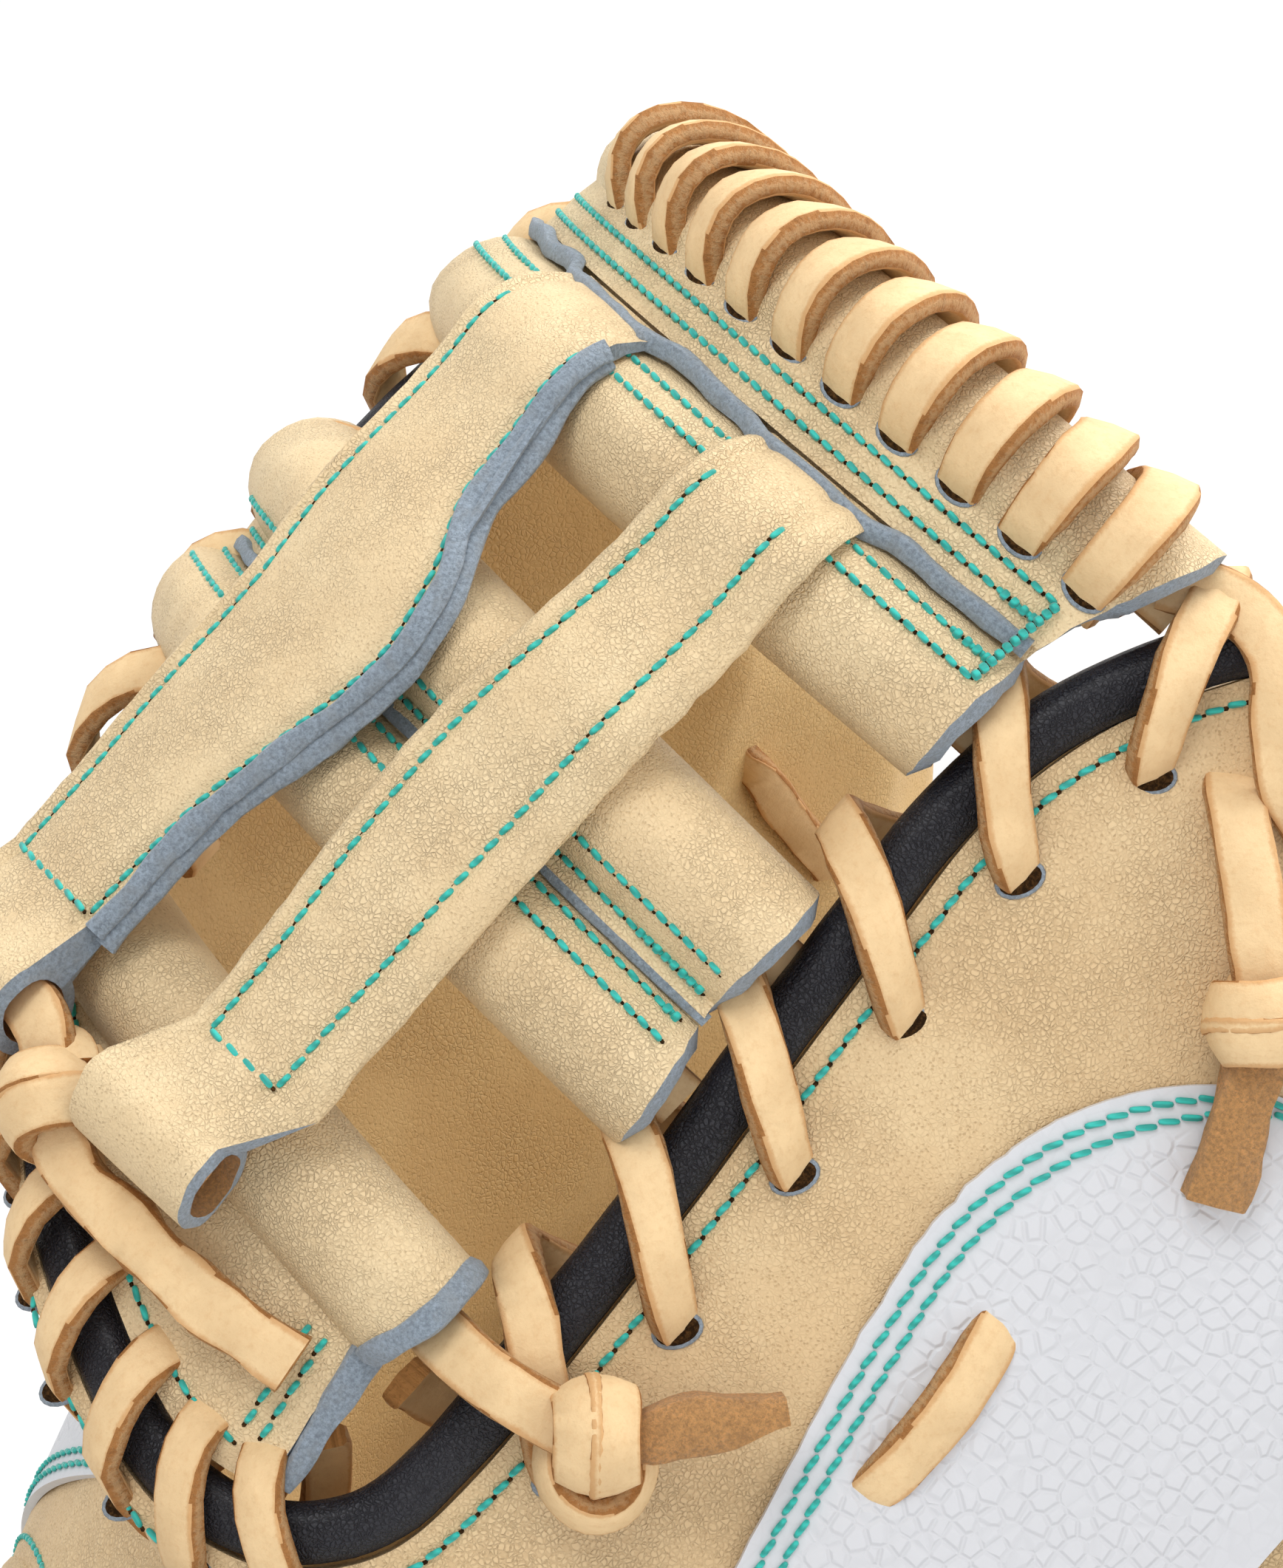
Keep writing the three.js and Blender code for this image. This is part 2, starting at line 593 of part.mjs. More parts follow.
// Winds round the edge of the mitt, out of the web, over the binding and in through the shell and the palm.
// Most of each turn's way along the edge is made on top.
const THUMB_WIND = { outset: 2.35, halfWide: 9.6, halfHigh: 8.9, middle: -4.6, onTop: 0.25 };
const BRIM_WIND = { outset: 4.2, halfWide: 8.4, halfHigh: 9.4, middle: -4.4, onTop: 0.12 };

function edgeWinding(wind, from, to, turns, steps = 9) {
  return Array.from({ length: turns * steps + 1 }, (_, i) => {
    const turn = i / steps;
    const angle = -Math.PI / 2 + 2 * Math.PI * turn;
    const share = (turn + wind.onTop * Math.sin(Math.PI * turn) ** 2) / turns;
    const u = THREE.MathUtils.lerp(from, to, share);
    return {
      ...offEdge(u, wind.outset - wind.halfWide * Math.sin(angle)),
      h: wind.middle + wind.halfHigh * Math.cos(angle),
      core: { ...offEdge(u, wind.outset), h: wind.middle },
    };
  });
}

// Winds round the top bar's upper tube, through a row of holes in its flap.
const TOP_WIND = { turns: 11, fromAcross: -10, toAcross: 80, offset: 2.1, halfLong: 7, halfHigh: 10.1 };

function topWinding() {
  const steps = 10;
  const centreY = TOP_BAR.upper.y + TOP_WIND.offset;
  return Array.from({ length: TOP_WIND.turns * steps + 1 }, (_, i) => {
    const share = i / (TOP_WIND.turns * steps);
    const angle = Math.PI + 2 * Math.PI * TOP_WIND.turns * share;
    const a = THREE.MathUtils.lerp(TOP_WIND.fromAcross, TOP_WIND.toAcross, share);
    const y = centreY + topBend(a);
    return {
      a,
      y: y + TOP_WIND.halfLong * Math.cos(angle),
      h: TOP_WIND.halfHigh * Math.sin(angle),
      core: { a, y, h: 0 },
    };
  });
}

const LACE_PATHS = {
  top_spiral_lace: topWinding(),
  thumb_edge_lace: edgeWinding(THUMB_WIND, shareNear(95, 146), shareNear(94, 27), 6),
  crotch_lace: edgeWinding(BRIM_WIND, shareNear(6, 37), shareNear(86, 9), 8),
  finger_edge_lace: edgeWinding(BRIM_WIND, shareNear(-26, 138), shareNear(-3, 49), 5),
};

// Knotted laces: a lace along a line of points, with a turn of lace round it at the knot.
const KNOTS = {
  web_knot: {
    at: 3,
    line: [
      { a: 22, y: 32.6, h: 12.2 }, { a: 32, y: 32.6, h: 12.2 }, { a: 35, y: 30, h: 11 }, { a: 37.5, y: 26.5, h: 10 },
      { a: 43, y: 23.2, h: 9 }, { a: 52, y: 22.4, h: 7.6 }, { a: 62, y: 22.2, h: 6 }, { a: 72, y: 23.2, h: 5 },
    ],
  },
  thumb_knot: {
    at: 4,
    line: [
      { a: 66, y: 37, h: -2.6 }, { a: 77, y: 36, h: -2 }, { a: 84, y: 35.4, h: 4 }, { a: 91, y: 36, h: 8.6 },
      { a: 101, y: 38.5, h: 8.4 }, { a: 108, y: 46, h: 6 }, { a: 114, y: 54, h: 4 },
    ],
  },
  rim_knot: {
    at: 3,
    line: [
      { a: 105, y: 134, h: -3.4 }, { a: 107, y: 131.6, h: 2.2 }, { a: 115, y: 125, h: 5 }, { a: 125, y: 116, h: 6.4 },
      { a: 131, y: 107, h: 5.2 }, { a: 136, y: 98, h: 3.6 },
    ],
  },
};
const KNOT_RADIUS = 4.2;

function knotRing({ at, line }) {
  const { a, y, h } = line[at];
  const ahead = line[at + 1];
  const behind = line[at - 1];
  const length = Math.hypot(ahead.a - behind.a, ahead.y - behind.y);
  const across = { a: -(ahead.y - behind.y) / length, y: (ahead.a - behind.a) / length };
  return Array.from({ length: 12 }, (_, k) => {
    const angle = (2 * Math.PI * k) / 12;
    return {
      a: a + KNOT_RADIUS * Math.cos(angle) * across.a,
      y: y + KNOT_RADIUS * Math.cos(angle) * across.y,
      h: h + KNOT_RADIUS * Math.sin(angle),
      core: { a, y, h },
    };
  });
}

function knotted(knot) {
  return solidOf(band(knot.line)).add(solidOf(band(knotRing(knot), LACE_WIDTH * 0.9, LACE_THICKNESS, true)));
}

// A single stitch of lace in the thumb panel.
const PANEL_STITCH = [
  { a: 129, y: 50, h: -4 }, { a: 129, y: 51.5, h: 1.4 }, { a: 128.8, y: 56, h: 3 }, { a: 128.4, y: 69, h: 3 },
  { a: 128, y: 73.5, h: 1.4 }, { a: 128, y: 75, h: -4 },
];

// Laces that lie along the inside of the bars' tubes.
function tubeLace(tube, bend = () => 0) {
  const clear = (tube.r - LEATHER) * Math.cos(Math.PI / HOLE_SIDES) - 1.6 * GAP;
  const low = LACE_THICKNESS / 2 - Math.sqrt(clear ** 2 - (LACE_WIDTH / 2) ** 2);
  const [left, right] = [barFingerEnd(tube.y) + 1, barThumbEnd(tube.y) - 1];
  return Array.from({ length: BAR_STATIONS }, (_, i) => {
    const a = THREE.MathUtils.lerp(left, right, i / (BAR_STATIONS - 1));
    return { a, y: (tube.yAt?.(a) ?? tube.y) + bend(a), h: low };
  });
}

// Textured panels sewn on the back of the thumb and of the fingers
const THUMB_PANEL = {
  left: [
    { a: 139, y: -60 }, { a: 131, y: -28 }, { a: 125, y: 8 }, { a: 122, y: 37 }, { a: 118, y: 62 }, { a: 116, y: 79 },
    { a: 117.5, y: 91 }, { a: 122, y: 101 }, { a: 129, y: 108.5 }, { a: 137, y: 112.5 },
  ],
  right: [
    { a: 152, y: -66 }, { a: 159, y: -30 }, { a: 164, y: 5 }, { a: 167, y: 34 }, { a: 168, y: 56 }, { a: 168, y: 72 },
    { a: 168, y: 84 }, { a: 166, y: 95 }, { a: 162, y: 106 }, { a: 153, y: 114 },
  ],
};
const FINGER_PANEL = { rows: [2, 11], columns: [3, 8] };

function panelGeometry({ left, right }, rows, columns) {
  const [lineLeft, lineRight] = [left, right].map((line) => new THREE.CatmullRomCurve3(
    line.map(({ a, y }) => new THREE.Vector3(a, y, 0))));
  const gridAt = (h) => Array.from({ length: rows + 1 }, (_, i) => {
    const from = lineLeft.getPoint(i / rows);
    const to = lineRight.getPoint(i / rows);
    return Array.from({ length: columns + 1 }, (__, j) => onMitt(
      THREE.MathUtils.lerp(from.x, to.x, j / columns), THREE.MathUtils.lerp(from.y, to.y, j / columns), h));
  });
  return sheet(gridAt(PANEL + 2.4 * GAP), gridAt(2.4 * GAP));
}

// Assembly
const MIDDLE = { x: 2.82, y: 4.61 }; // of the whole mitt on the master surface's own axes
const mitt = new THREE.Group();
mitt.position.set(-MIDDLE.x, -MIDDLE.y, 0);

const FINISHES = {
  leather: { color: 0xe0c48f, roughness: 0.6, metalness: 0 },
  palm_leather: { color: 0xdabd88, roughness: 0.55, metalness: 0 },
  lace: { color: 0xe6c08a, roughness: 0.7, metalness: 0 },
  black_leather: { color: 0x1c1c22, roughness: 0.45, metalness: 0 },
  white_panel: { color: 0xe9e9ee, roughness: 0.5, metalness: 0 },
};

function add(name, solid, finish) {
  const mesh = new THREE.Mesh(geometryOf(solid), new THREE.MeshStandardMaterial(FINISHES[finish]));
  mesh.name = name;
  mitt.add(mesh);
}

const bindingSpace = solidOf(bindingGeometry(BINDING_RADIUS + GAP / 3));
const windingSpaces = Object.values(LACE_PATHS).map(laceSpace);
const stitchSpaces = [laceSpace(PANEL_STITCH), laceSpace(KNOTS.rim_knot.line.slice(0, 3))];

// The main body of a piece once the space of others is cut out of it.
const cutBy = (tools, solid) => mainBody(tools.reduce((left, tool) => left.subtract(tool), solid));

const leathers = [];
function addLeather(name, geometry, finish, alsoCut = []) {
  const solid = cutBy([bindingSpace, ...windingSpaces, ...stitchSpaces, ...alsoCut], solidOf(geometry));
  leathers.push(solid);
  add(name, solid, finish);
}

const shellSpace = solidOf(sheet(
  horseshoeGrid(SHELL_RIM, () => 3),
  horseshoeGrid(SHELL_RIM, () => -LEATHER - 0.7 * GAP)));
addLeather("palm", sheet(
  horseshoeGrid(PALM_RIM, palmTop),
  horseshoeGrid(PALM_RIM, palmBottom)), "palm_leather", [BELOW_FLOOR, shellSpace]);
addLeather("back_shell", sheet(
  horseshoeGrid(SHELL_RIM, () => 0),
  horseshoeGrid(SHELL_RIM, () => -LEATHER)), "leather", [ovalPrism(HAND_OPENING)]);
add("binding", solidOf(bindingGeometry(BINDING_RADIUS)), "black_leather");

addLeather("top_bar", acrossMitt(
  () => barOutline(TOP_BAR), () => [tubeHole(TOP_BAR.upper), tubeHole(TOP_BAR.lower)],
  barFingerEnd, barThumbEnd, BAR_STATIONS, topBend), "leather");
addLeather("mid_bar", acrossMitt(
  (share) => barOutline(midBar(share)), (share) => [tubeHole(midBar(share).upper), tubeHole(midBar(share).lower)],
  barFingerEnd, barThumbEnd, BAR_STATIONS), "leather");
addLeather("base_bar", acrossMitt(
  baseOutline, baseHoles, () => BASE_LEFT, (y) => Math.max(barThumbEnd(y), BASE_RIGHT), BAR_STATIONS), "leather");
for (const [name, { left, right }] of Object.entries(POSTS)) {
  add(name, solidOf(acrossMitt(postOutline, postHole, left, right, 4, postBend)), "leather");
}
addLeather("thumb_panel", panelGeometry(THUMB_PANEL, 16, 4), "white_panel");
addLeather("finger_panel", sheet(
  horseshoeGrid(SHELL_RIM, () => GAP + PANEL, FINGER_PANEL.rows, FINGER_PANEL.columns),
  horseshoeGrid(SHELL_RIM, () => GAP, FINGER_PANEL.rows, FINGER_PANEL.columns)), "white_panel");
for (const [name, path] of Object.entries(LACE_PATHS)) add(name, cutBy(leathers, solidOf(band(path))), "lace");
add("panel_stitch", solidOf(band(PANEL_STITCH)), "lace");
for (const [name, knot] of Object.entries(KNOTS)) add(name, cutBy(windingSpaces, knotted(knot)), "lace");
const midShape = midBar(0);
const slope = (part) => (a) => THREE.MathUtils.mapLinear(a, -15, 85, midBar(0)[part].y, midBar(1)[part].y);
for (const [name, path] of Object.entries({
  top_bar_upper_lace: tubeLace(TOP_BAR.upper, topBend),
  top_bar_lower_lace: tubeLace(TOP_BAR.lower, topBend),
  mid_bar_upper_lace: tubeLace({ ...midShape.upper, yAt: slope("upper") }),
  mid_bar_lower_lace: tubeLace({ ...midShape.lower, yAt: slope("lower") }),
})) add(name, cutBy([bindingSpace, ...windingSpaces], solidOf(band(path))), "lace");

export default mitt;
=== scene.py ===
# A softball catcher's mitt seen from the back of its web: a padded palm and a leather back joined round their
# edge by a black binding, and a web of rolled leather bars and straps laced between fingers and thumb.
# Lengths in the tables are millimetres on the mitt's own surface: a is the distance across it from the ridge,
# towards the thumb, y the distance from the crotch towards the top of the web, and h the height off the surface.
import math
from bisect import bisect_right

import bmesh
import bpy
from bpy.props import FloatProperty, FloatVectorProperty, PointerProperty
from mathutils import Euler, Matrix, Vector, noise
from mathutils.kdtree import KDTree


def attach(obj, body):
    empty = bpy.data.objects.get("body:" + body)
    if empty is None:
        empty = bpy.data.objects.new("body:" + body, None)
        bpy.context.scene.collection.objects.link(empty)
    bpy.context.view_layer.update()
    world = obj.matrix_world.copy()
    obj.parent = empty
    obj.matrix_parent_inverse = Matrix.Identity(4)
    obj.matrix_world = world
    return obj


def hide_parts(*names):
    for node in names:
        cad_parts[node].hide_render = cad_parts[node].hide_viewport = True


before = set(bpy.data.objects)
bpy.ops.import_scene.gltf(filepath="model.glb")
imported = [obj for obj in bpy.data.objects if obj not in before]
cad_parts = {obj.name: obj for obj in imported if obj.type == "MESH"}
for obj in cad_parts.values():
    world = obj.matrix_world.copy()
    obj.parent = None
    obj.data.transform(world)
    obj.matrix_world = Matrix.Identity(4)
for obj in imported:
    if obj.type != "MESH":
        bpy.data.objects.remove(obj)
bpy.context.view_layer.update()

bl_info = {
    "name": "Catcher's Mitt",
    "version": (1, 0, 0),
    "blender": (4, 5, 0),
    "location": "View3D > Sidebar > Mitt",
    "description": "Builds a softball catcher's mitt with a barred web, piece by piece",
    "category": "Object",
}


# Small tools for numbers

TINY = 1e-9


def lerp(low, high, share):
    return low + (high - low) * share


def smoothstep(value, low, high):
    share = min(max((value - low) / (high - low), 0), 1)
    return share * share * (3 - 2 * share)


def steps(low, high, count):
    """Evenly spaced numbers from low to high, with both of them."""
    return [lerp(low, high, i / count) for i in range(count + 1)]


def rows(table):
    """The rows of a table of (y, a) pairs read as a smooth line: gives a for any y."""
    ordered = sorted(table)

    def at(y):
        if y <= ordered[0][0]:
            return ordered[0][1]
        if y >= ordered[-1][0]:
            return ordered[-1][1]
        i = max(k for k in range(len(ordered) - 1) if ordered[k][0] <= y)
        (y0, a0), (y1, a1) = ordered[i], ordered[i + 1]
        rise = (a1 - a0) / (y1 - y0)
        before = rise if i == 0 else (a1 - ordered[i - 1][1]) / (y1 - ordered[i - 1][0])
        after = rise if i + 2 >= len(ordered) else (ordered[i + 2][1] - a0) / (ordered[i + 2][0] - y0)
        span = y1 - y0
        t = (y - y0) / span
        return ((2 * t ** 3 - 3 * t ** 2 + 1) * a0 + (t ** 3 - 2 * t ** 2 + t) * span * before
                + (3 * t ** 2 - 2 * t ** 3) * a1 + (t ** 3 - t ** 2) * span * after)

    return at


def run_of(places):
    """The length run so far at each place of a path."""
    run = [0.0]
    for p, q in zip(places, places[1:]):
        run.append(run[-1] + (q - p).length)
    return run


class Line:
    """A smooth line through points of any dimension; power 0.25 is centripetal, 0.5 chordal."""
    SPANS = 800  # of the table that finds a point by length

    def __init__(self, points, closed=False, power=0.25):
        self.points = [Vector(p) for p in points]
        self.closed = closed
        self.power = power
        self.run = None

    def at(self, t):
        """The point a share t of the way through the given points."""
        points, count = self.points, len(self.points)
        place = (count if self.closed else count - 1) * (t % 1 if self.closed else t)
        i = min(int(place), count - 1 if self.closed else count - 2)
        w = place - i
        p1, p2 = points[i % count], points[(i + 1) % count]
        p0 = points[i - 1] if self.closed or i > 0 else p1 * 2 - p2
        p3 = points[(i + 2) % count] if self.closed or i + 2 < count else p2 * 2 - p1
        step = max((p2 - p1).length_squared ** self.power, 1e-4)
        before = (p1 - p0).length_squared ** self.power or step
        after = (p3 - p2).length_squared ** self.power or step
        t1 = ((p1 - p0) / before - (p2 - p0) / (before + step) + (p2 - p1) / step) * step
        t2 = ((p2 - p1) / step - (p3 - p1) / (step + after) + (p3 - p2) / after) * step
        return p1 + t1 * w + (p1 * -3 + p2 * 3 - t1 * 2 - t2) * w ** 2 + (p1 * 2 - p2 * 2 + t1 + t2) * w ** 3

    def evenly(self, u):
        """The point a share u of the way along, by length."""
        if self.run is None:
            self.run = run_of([self.at(i / self.SPANS) for i in range(self.SPANS + 1)])
        goal = min(max(u, 0), 1) * self.run[-1]
        low = min(bisect_right(self.run, goal), self.SPANS) - 1
        part = (goal - self.run[low]) / max(self.run[low + 1] - self.run[low], TINY)
        return self.at((low + part) / self.SPANS)


# The mitt's own surface

MIDDLE_X, MIDDLE_Y = 2.82, 4.61  # of the whole mitt, in x and y
RIDGE_HEIGHT, RIDGE_PEAK_Y, RIDGE_BOW = 136, 70, 340
HEEL_START_Y, HEEL_BOW = -20, 300
CROWN_RADIUS, WALL_RADIUS = 74, 300
THUMB_TURN, FINGER_TURN = math.radians(65), math.radians(70)
SHELL_RIM_RISE, PALM_RIM_RISE = 9.4, -3  # above the floor
LEATHER, GAP, PANEL = 2.4, 0.35, 1.1  # thicknesses, and the play between two leathers
HAND_SPACE, PAD_WEB, PAD_RIM, PAD_PALM = 21, 11, 22, 37  # depths below the surface
BINDING_RADIUS = 3.3

BRIM = [  # a, y, way out across a, way out along y
    (-26, 130, -1, -0.05), (-24, 98, -0.939, -0.343), (-9, 57, -0.731, -0.682),
    (19, 27, -0.565, -0.825), (46, 8.5, -0.316, -0.949), (67, 1.5, 0, -1),
]
BRIM_DROP, BRIM_WIDTH, BRIM_REACH = 46, 3, 26


def ridge_height(y):
    """Height of the mitt's ridge, which bows down towards the web's top and falls away to the heel."""
    bow = (RIDGE_PEAK_Y - max(y, HEEL_START_Y)) ** 2 / (2 * RIDGE_BOW)
    if y > HEEL_START_Y:
        return RIDGE_HEIGHT - bow
    past = HEEL_START_Y - y
    return RIDGE_HEIGHT - bow - (RIDGE_PEAK_Y - HEEL_START_Y) / RIDGE_BOW * past - past ** 2 / (2 * HEEL_BOW)


def section(a):
    """The turn, the way out and the drop at a distance across: a round crown that goes over into a flatter wall."""
    turn = THUMB_TURN if a > 0 else FINGER_TURN
    across = abs(a)
    if across <= CROWN_RADIUS * turn:
        angle = across / CROWN_RADIUS
        return angle, CROWN_RADIUS * math.sin(angle), CROWN_RADIUS * (1 - math.cos(angle))
    angle = turn + (across - CROWN_RADIUS * turn) / WALL_RADIUS
    return (angle, CROWN_RADIUS * math.sin(turn) + WALL_RADIUS * (math.sin(angle) - math.sin(turn)),
            CROWN_RADIUS * (1 - math.cos(turn)) + WALL_RADIUS * (math.cos(turn) - math.cos(angle)))


def sunk_below_brim(a, y, z):
    """How far the fingers' side drops away outside the web's edge."""
    out = max(out_a * (a - edge_a) + out_y * (y - edge_y) for edge_a, edge_y, out_a, out_y in BRIM) - BRIM_WIDTH
    if out <= 0:
        return 0
    return (BRIM_DROP * math.sin(math.pi / 2 * min(out / BRIM_REACH, 1)) * (1 - smoothstep(a, 60, 100))
            * (1 - 0.75 * smoothstep(y, 40, 130)) * (1 - 0.7 * smoothstep(-y, 30, 130)) * smoothstep(z, 12, 80))


def on_mitt(a, y, h=0):
    """The place, in metres, of a point of the mitt's surface, or of one h off it."""
    angle, x, drop = section(a)
    z = ridge_height(y) - drop
    side = 1 if a > 0 else -1
    return Vector((
        side * (x + h * math.sin(angle)) - MIDDLE_X, y - MIDDLE_Y,
        z - sunk_below_brim(a, y, z) + h * math.cos(angle))) / 1000


def across_at(rise, y, side):
    """The distance across at which the surface comes down to a height above the floor."""
    target = ridge_height(y) - rise
    turn = THUMB_TURN if side > 0 else FINGER_TURN
    crown_drop = CROWN_RADIUS * (1 - math.cos(turn))
    if target <= crown_drop:
        return side * CROWN_RADIUS * math.acos(1 - target / CROWN_RADIUS)
    wall = math.acos(math.cos(turn) - (target - crown_drop) / WALL_RADIUS) - turn
    return side * (CROWN_RADIUS * turn + WALL_RADIUS * wall)


# The padded body is a horseshoe: each row joins a point of the web's edge to one of the outer rim. Where the
# rim lies on the floor, "fingers" or "thumb" says on which side, and its distance across is worked out.
HORSESHOE = [  # web a, web y, rim a, rim y
    (-27, 145, -52, 152), (-26, 134, -86, 149), (-25, 117, -122, 138), (-24, 98, -152, 118),
    (-19, 78, "fingers", 94), (-9, 57, "fingers", 70), (3, 41, "fingers", 34), (19, 27, "fingers", -4),
    (34, 15, "fingers", -42), (46, 8.5, "fingers", -82), (54, 4.8, "fingers", -118), (60, 2.6, -60, -140),
    (67, 1.5, -20, -146), (74, 2.2, 22, -146), (80, 4.2, 60, -140), (86, 8.5, "thumb", -118),
    (91, 15, "thumb", -84), (94, 26, "thumb", -48), (95.5, 44, "thumb", -10), (95.6, 64, "thumb", 28),
    (94.2, 82, "thumb", 66), (92.5, 99, 169.5, 102), (90.8, 114, 162, 130), (92.6, 130, 141, 148),
    (98, 143, 120, 156),
]
WEB_EDGE = Line([(a, y) for a, y, _, _ in HORSESHOE])


def rim_line(rise):
    """The outer rim, with its long sides at a height above the floor."""
    sides = {"fingers": -1, "thumb": 1}
    return Line([(across_at(rise, y, sides[a]) if a in sides else a, y) for _, _, a, y in HORSESHOE])


SHELL_RIM = rim_line(SHELL_RIM_RISE)
PALM_RIM = rim_line(PALM_RIM_RISE)


def horseshoe(s, t, rim=SHELL_RIM):
    """s runs from the fingertips round the heel to the thumb's tip, and t from the web to the outer rim."""
    return WEB_EDGE.at(s).lerp(rim.at(s), t)


def inside(s, t):
    """0 at the edges of the horseshoe and 1 in its middle."""
    return smoothstep(min(min(t, 1 - t) / 0.3, min(s, 1 - s) / 0.12), 0, 1)


def at_wrist(s, t):
    """1 where the hand comes in at the heel, and 0 elsewhere."""
    return (1 - smoothstep(abs(s - 0.52), 0.04, 0.1)) * smoothstep(t, 0.35, 0.6)


def palm_top(s, t):
    """Height of the palm's face towards the hand."""
    lip = 2.4 * smoothstep(t, 0.88, 0.93)
    return -LEATHER - GAP - max(HAND_SPACE * max(inside(s, t), at_wrist(s, t)), lip)


def palm_bottom(s, t):
    """Height of the palm's face towards the ball."""
    rounding = 5 * (1 - smoothstep(min(t, s * 4, (1 - s) * 4), 0, 0.12))
    rim = lerp(PAD_WEB, PAD_RIM, smoothstep(t, 0, 1))
    return -lerp(rim, PAD_PALM, max(inside(s, t), at_wrist(s, t))) + rounding


EDGE_LOOP = Line(
    [horseshoe(s, 0) for s in steps(0, 1, 40)] + [horseshoe(1 - s, 1) for s in steps(0, 1, 40)],
    closed=True, power=0.5)


def off_edge(u, outset):
    """A point a distance off the leather's edge, a share u of the way round it."""
    near = 0.0004
    middle = EDGE_LOOP.evenly(u % 1)
    along = (EDGE_LOOP.evenly((u + near) % 1) - EDGE_LOOP.evenly((u - near) % 1)).normalized()
    return middle.x - along.y * outset, middle.y + along.x * outset


def share_near(a, y):
    """The share of the way round the edge at which its web part comes nearest a point."""
    return min((i / 1000 for i in range(601)), key=lambda u: (EDGE_LOOP.evenly(u) - Vector((a, y))).length)


# Sizes and colours that a maker would change

def paint(red, green, blue):
    """A colour given as it looks on a screen, 0 to 255, as a linear one."""
    shares = (red / 255, green / 255, blue / 255)
    return tuple(c / 12.92 if c <= 0.04045 else ((c + 0.055) / 1.055) ** 2.4 for c in shares)


def colour(name, description, *screen):
    return FloatVectorProperty(
        name=name, description=description, default=paint(*screen), min=0, max=1, size=3, subtype="COLOR")


def length(name, description, default):
    return FloatProperty(
        name=name, description=description, default=default, min=0.0001, max=0.1, precision=5, unit="LENGTH")


class MittSizes(bpy.types.PropertyGroup):
    lace_width: length("Lace width", "Width of the rawhide lace", 0.0066)
    lace_thickness: length("Lace thickness", "Thickness of the rawhide lace", 0.0024)
    stitch_pitch: length("Stitch pitch", "Distance from one stitch to the next", 0.0025)
    thread: length("Thread", "Thickness of the sewing thread", 0.00076)
    pebble: length("Pebble", "Size of the grain of the leather", 0.0011)
    scale_width: length("Scale width", "Width of one scale embossed in the white leather", 0.0022)


class MittColours(bpy.types.PropertyGroup):
    leather: colour("Leather", "Blonde leather of the back and the web", 231, 207, 165)
    palm: colour("Palm", "Smooth leather of the palm", 224, 192, 136)
    lace: colour("Lace", "Smooth face of the rawhide lace", 234, 203, 156)
    lace_edge: colour("Lace edge", "Rough cut edge of the lace", 192, 136, 78)
    felt: colour("Raw edge", "Fuzzy raw edge of the web's leather", 156, 170, 184)
    binding: colour("Binding", "Black leather round the edge", 31, 31, 39)
    thread: colour("Thread", "Sewing thread", 42, 184, 172)
    panel: colour("Panel", "White embossed leather", 214, 215, 219)
    floor: colour("Floor", "Floor that the mitt lies on", 253, 253, 253)


def sizes():
    return bpy.context.scene.mitt_sizes


# Finishes

class Wire:
    """An output of a node. Sums with it add Math nodes."""

    def __init__(self, finish, socket):
        self.finish = finish
        self.socket = socket

    def sum(self, operation, *values):
        """A Math node on two values."""
        return self.finish.node("ShaderNodeMath", {"operation": operation}, dict(enumerate(values)))

    def __add__(self, other):
        return self.sum("ADD", self, other)

    def __radd__(self, other):
        return self.sum("ADD", other, self)

    def __sub__(self, other):
        return self.sum("SUBTRACT", self, other)

    def __rsub__(self, other):
        return self.sum("SUBTRACT", other, self)

    def __mul__(self, other):
        return self.sum("MULTIPLY", self, other)

    def __rmul__(self, other):
        return self.sum("MULTIPLY", other, self)

    def between(self, low, high):
        """0 below low and 1 above high, smooth between them."""
        return self.finish.node(
            "ShaderNodeMapRange", {"interpolation_type": "SMOOTHSTEP"}, {"Value": self, 1: low, 2: high})


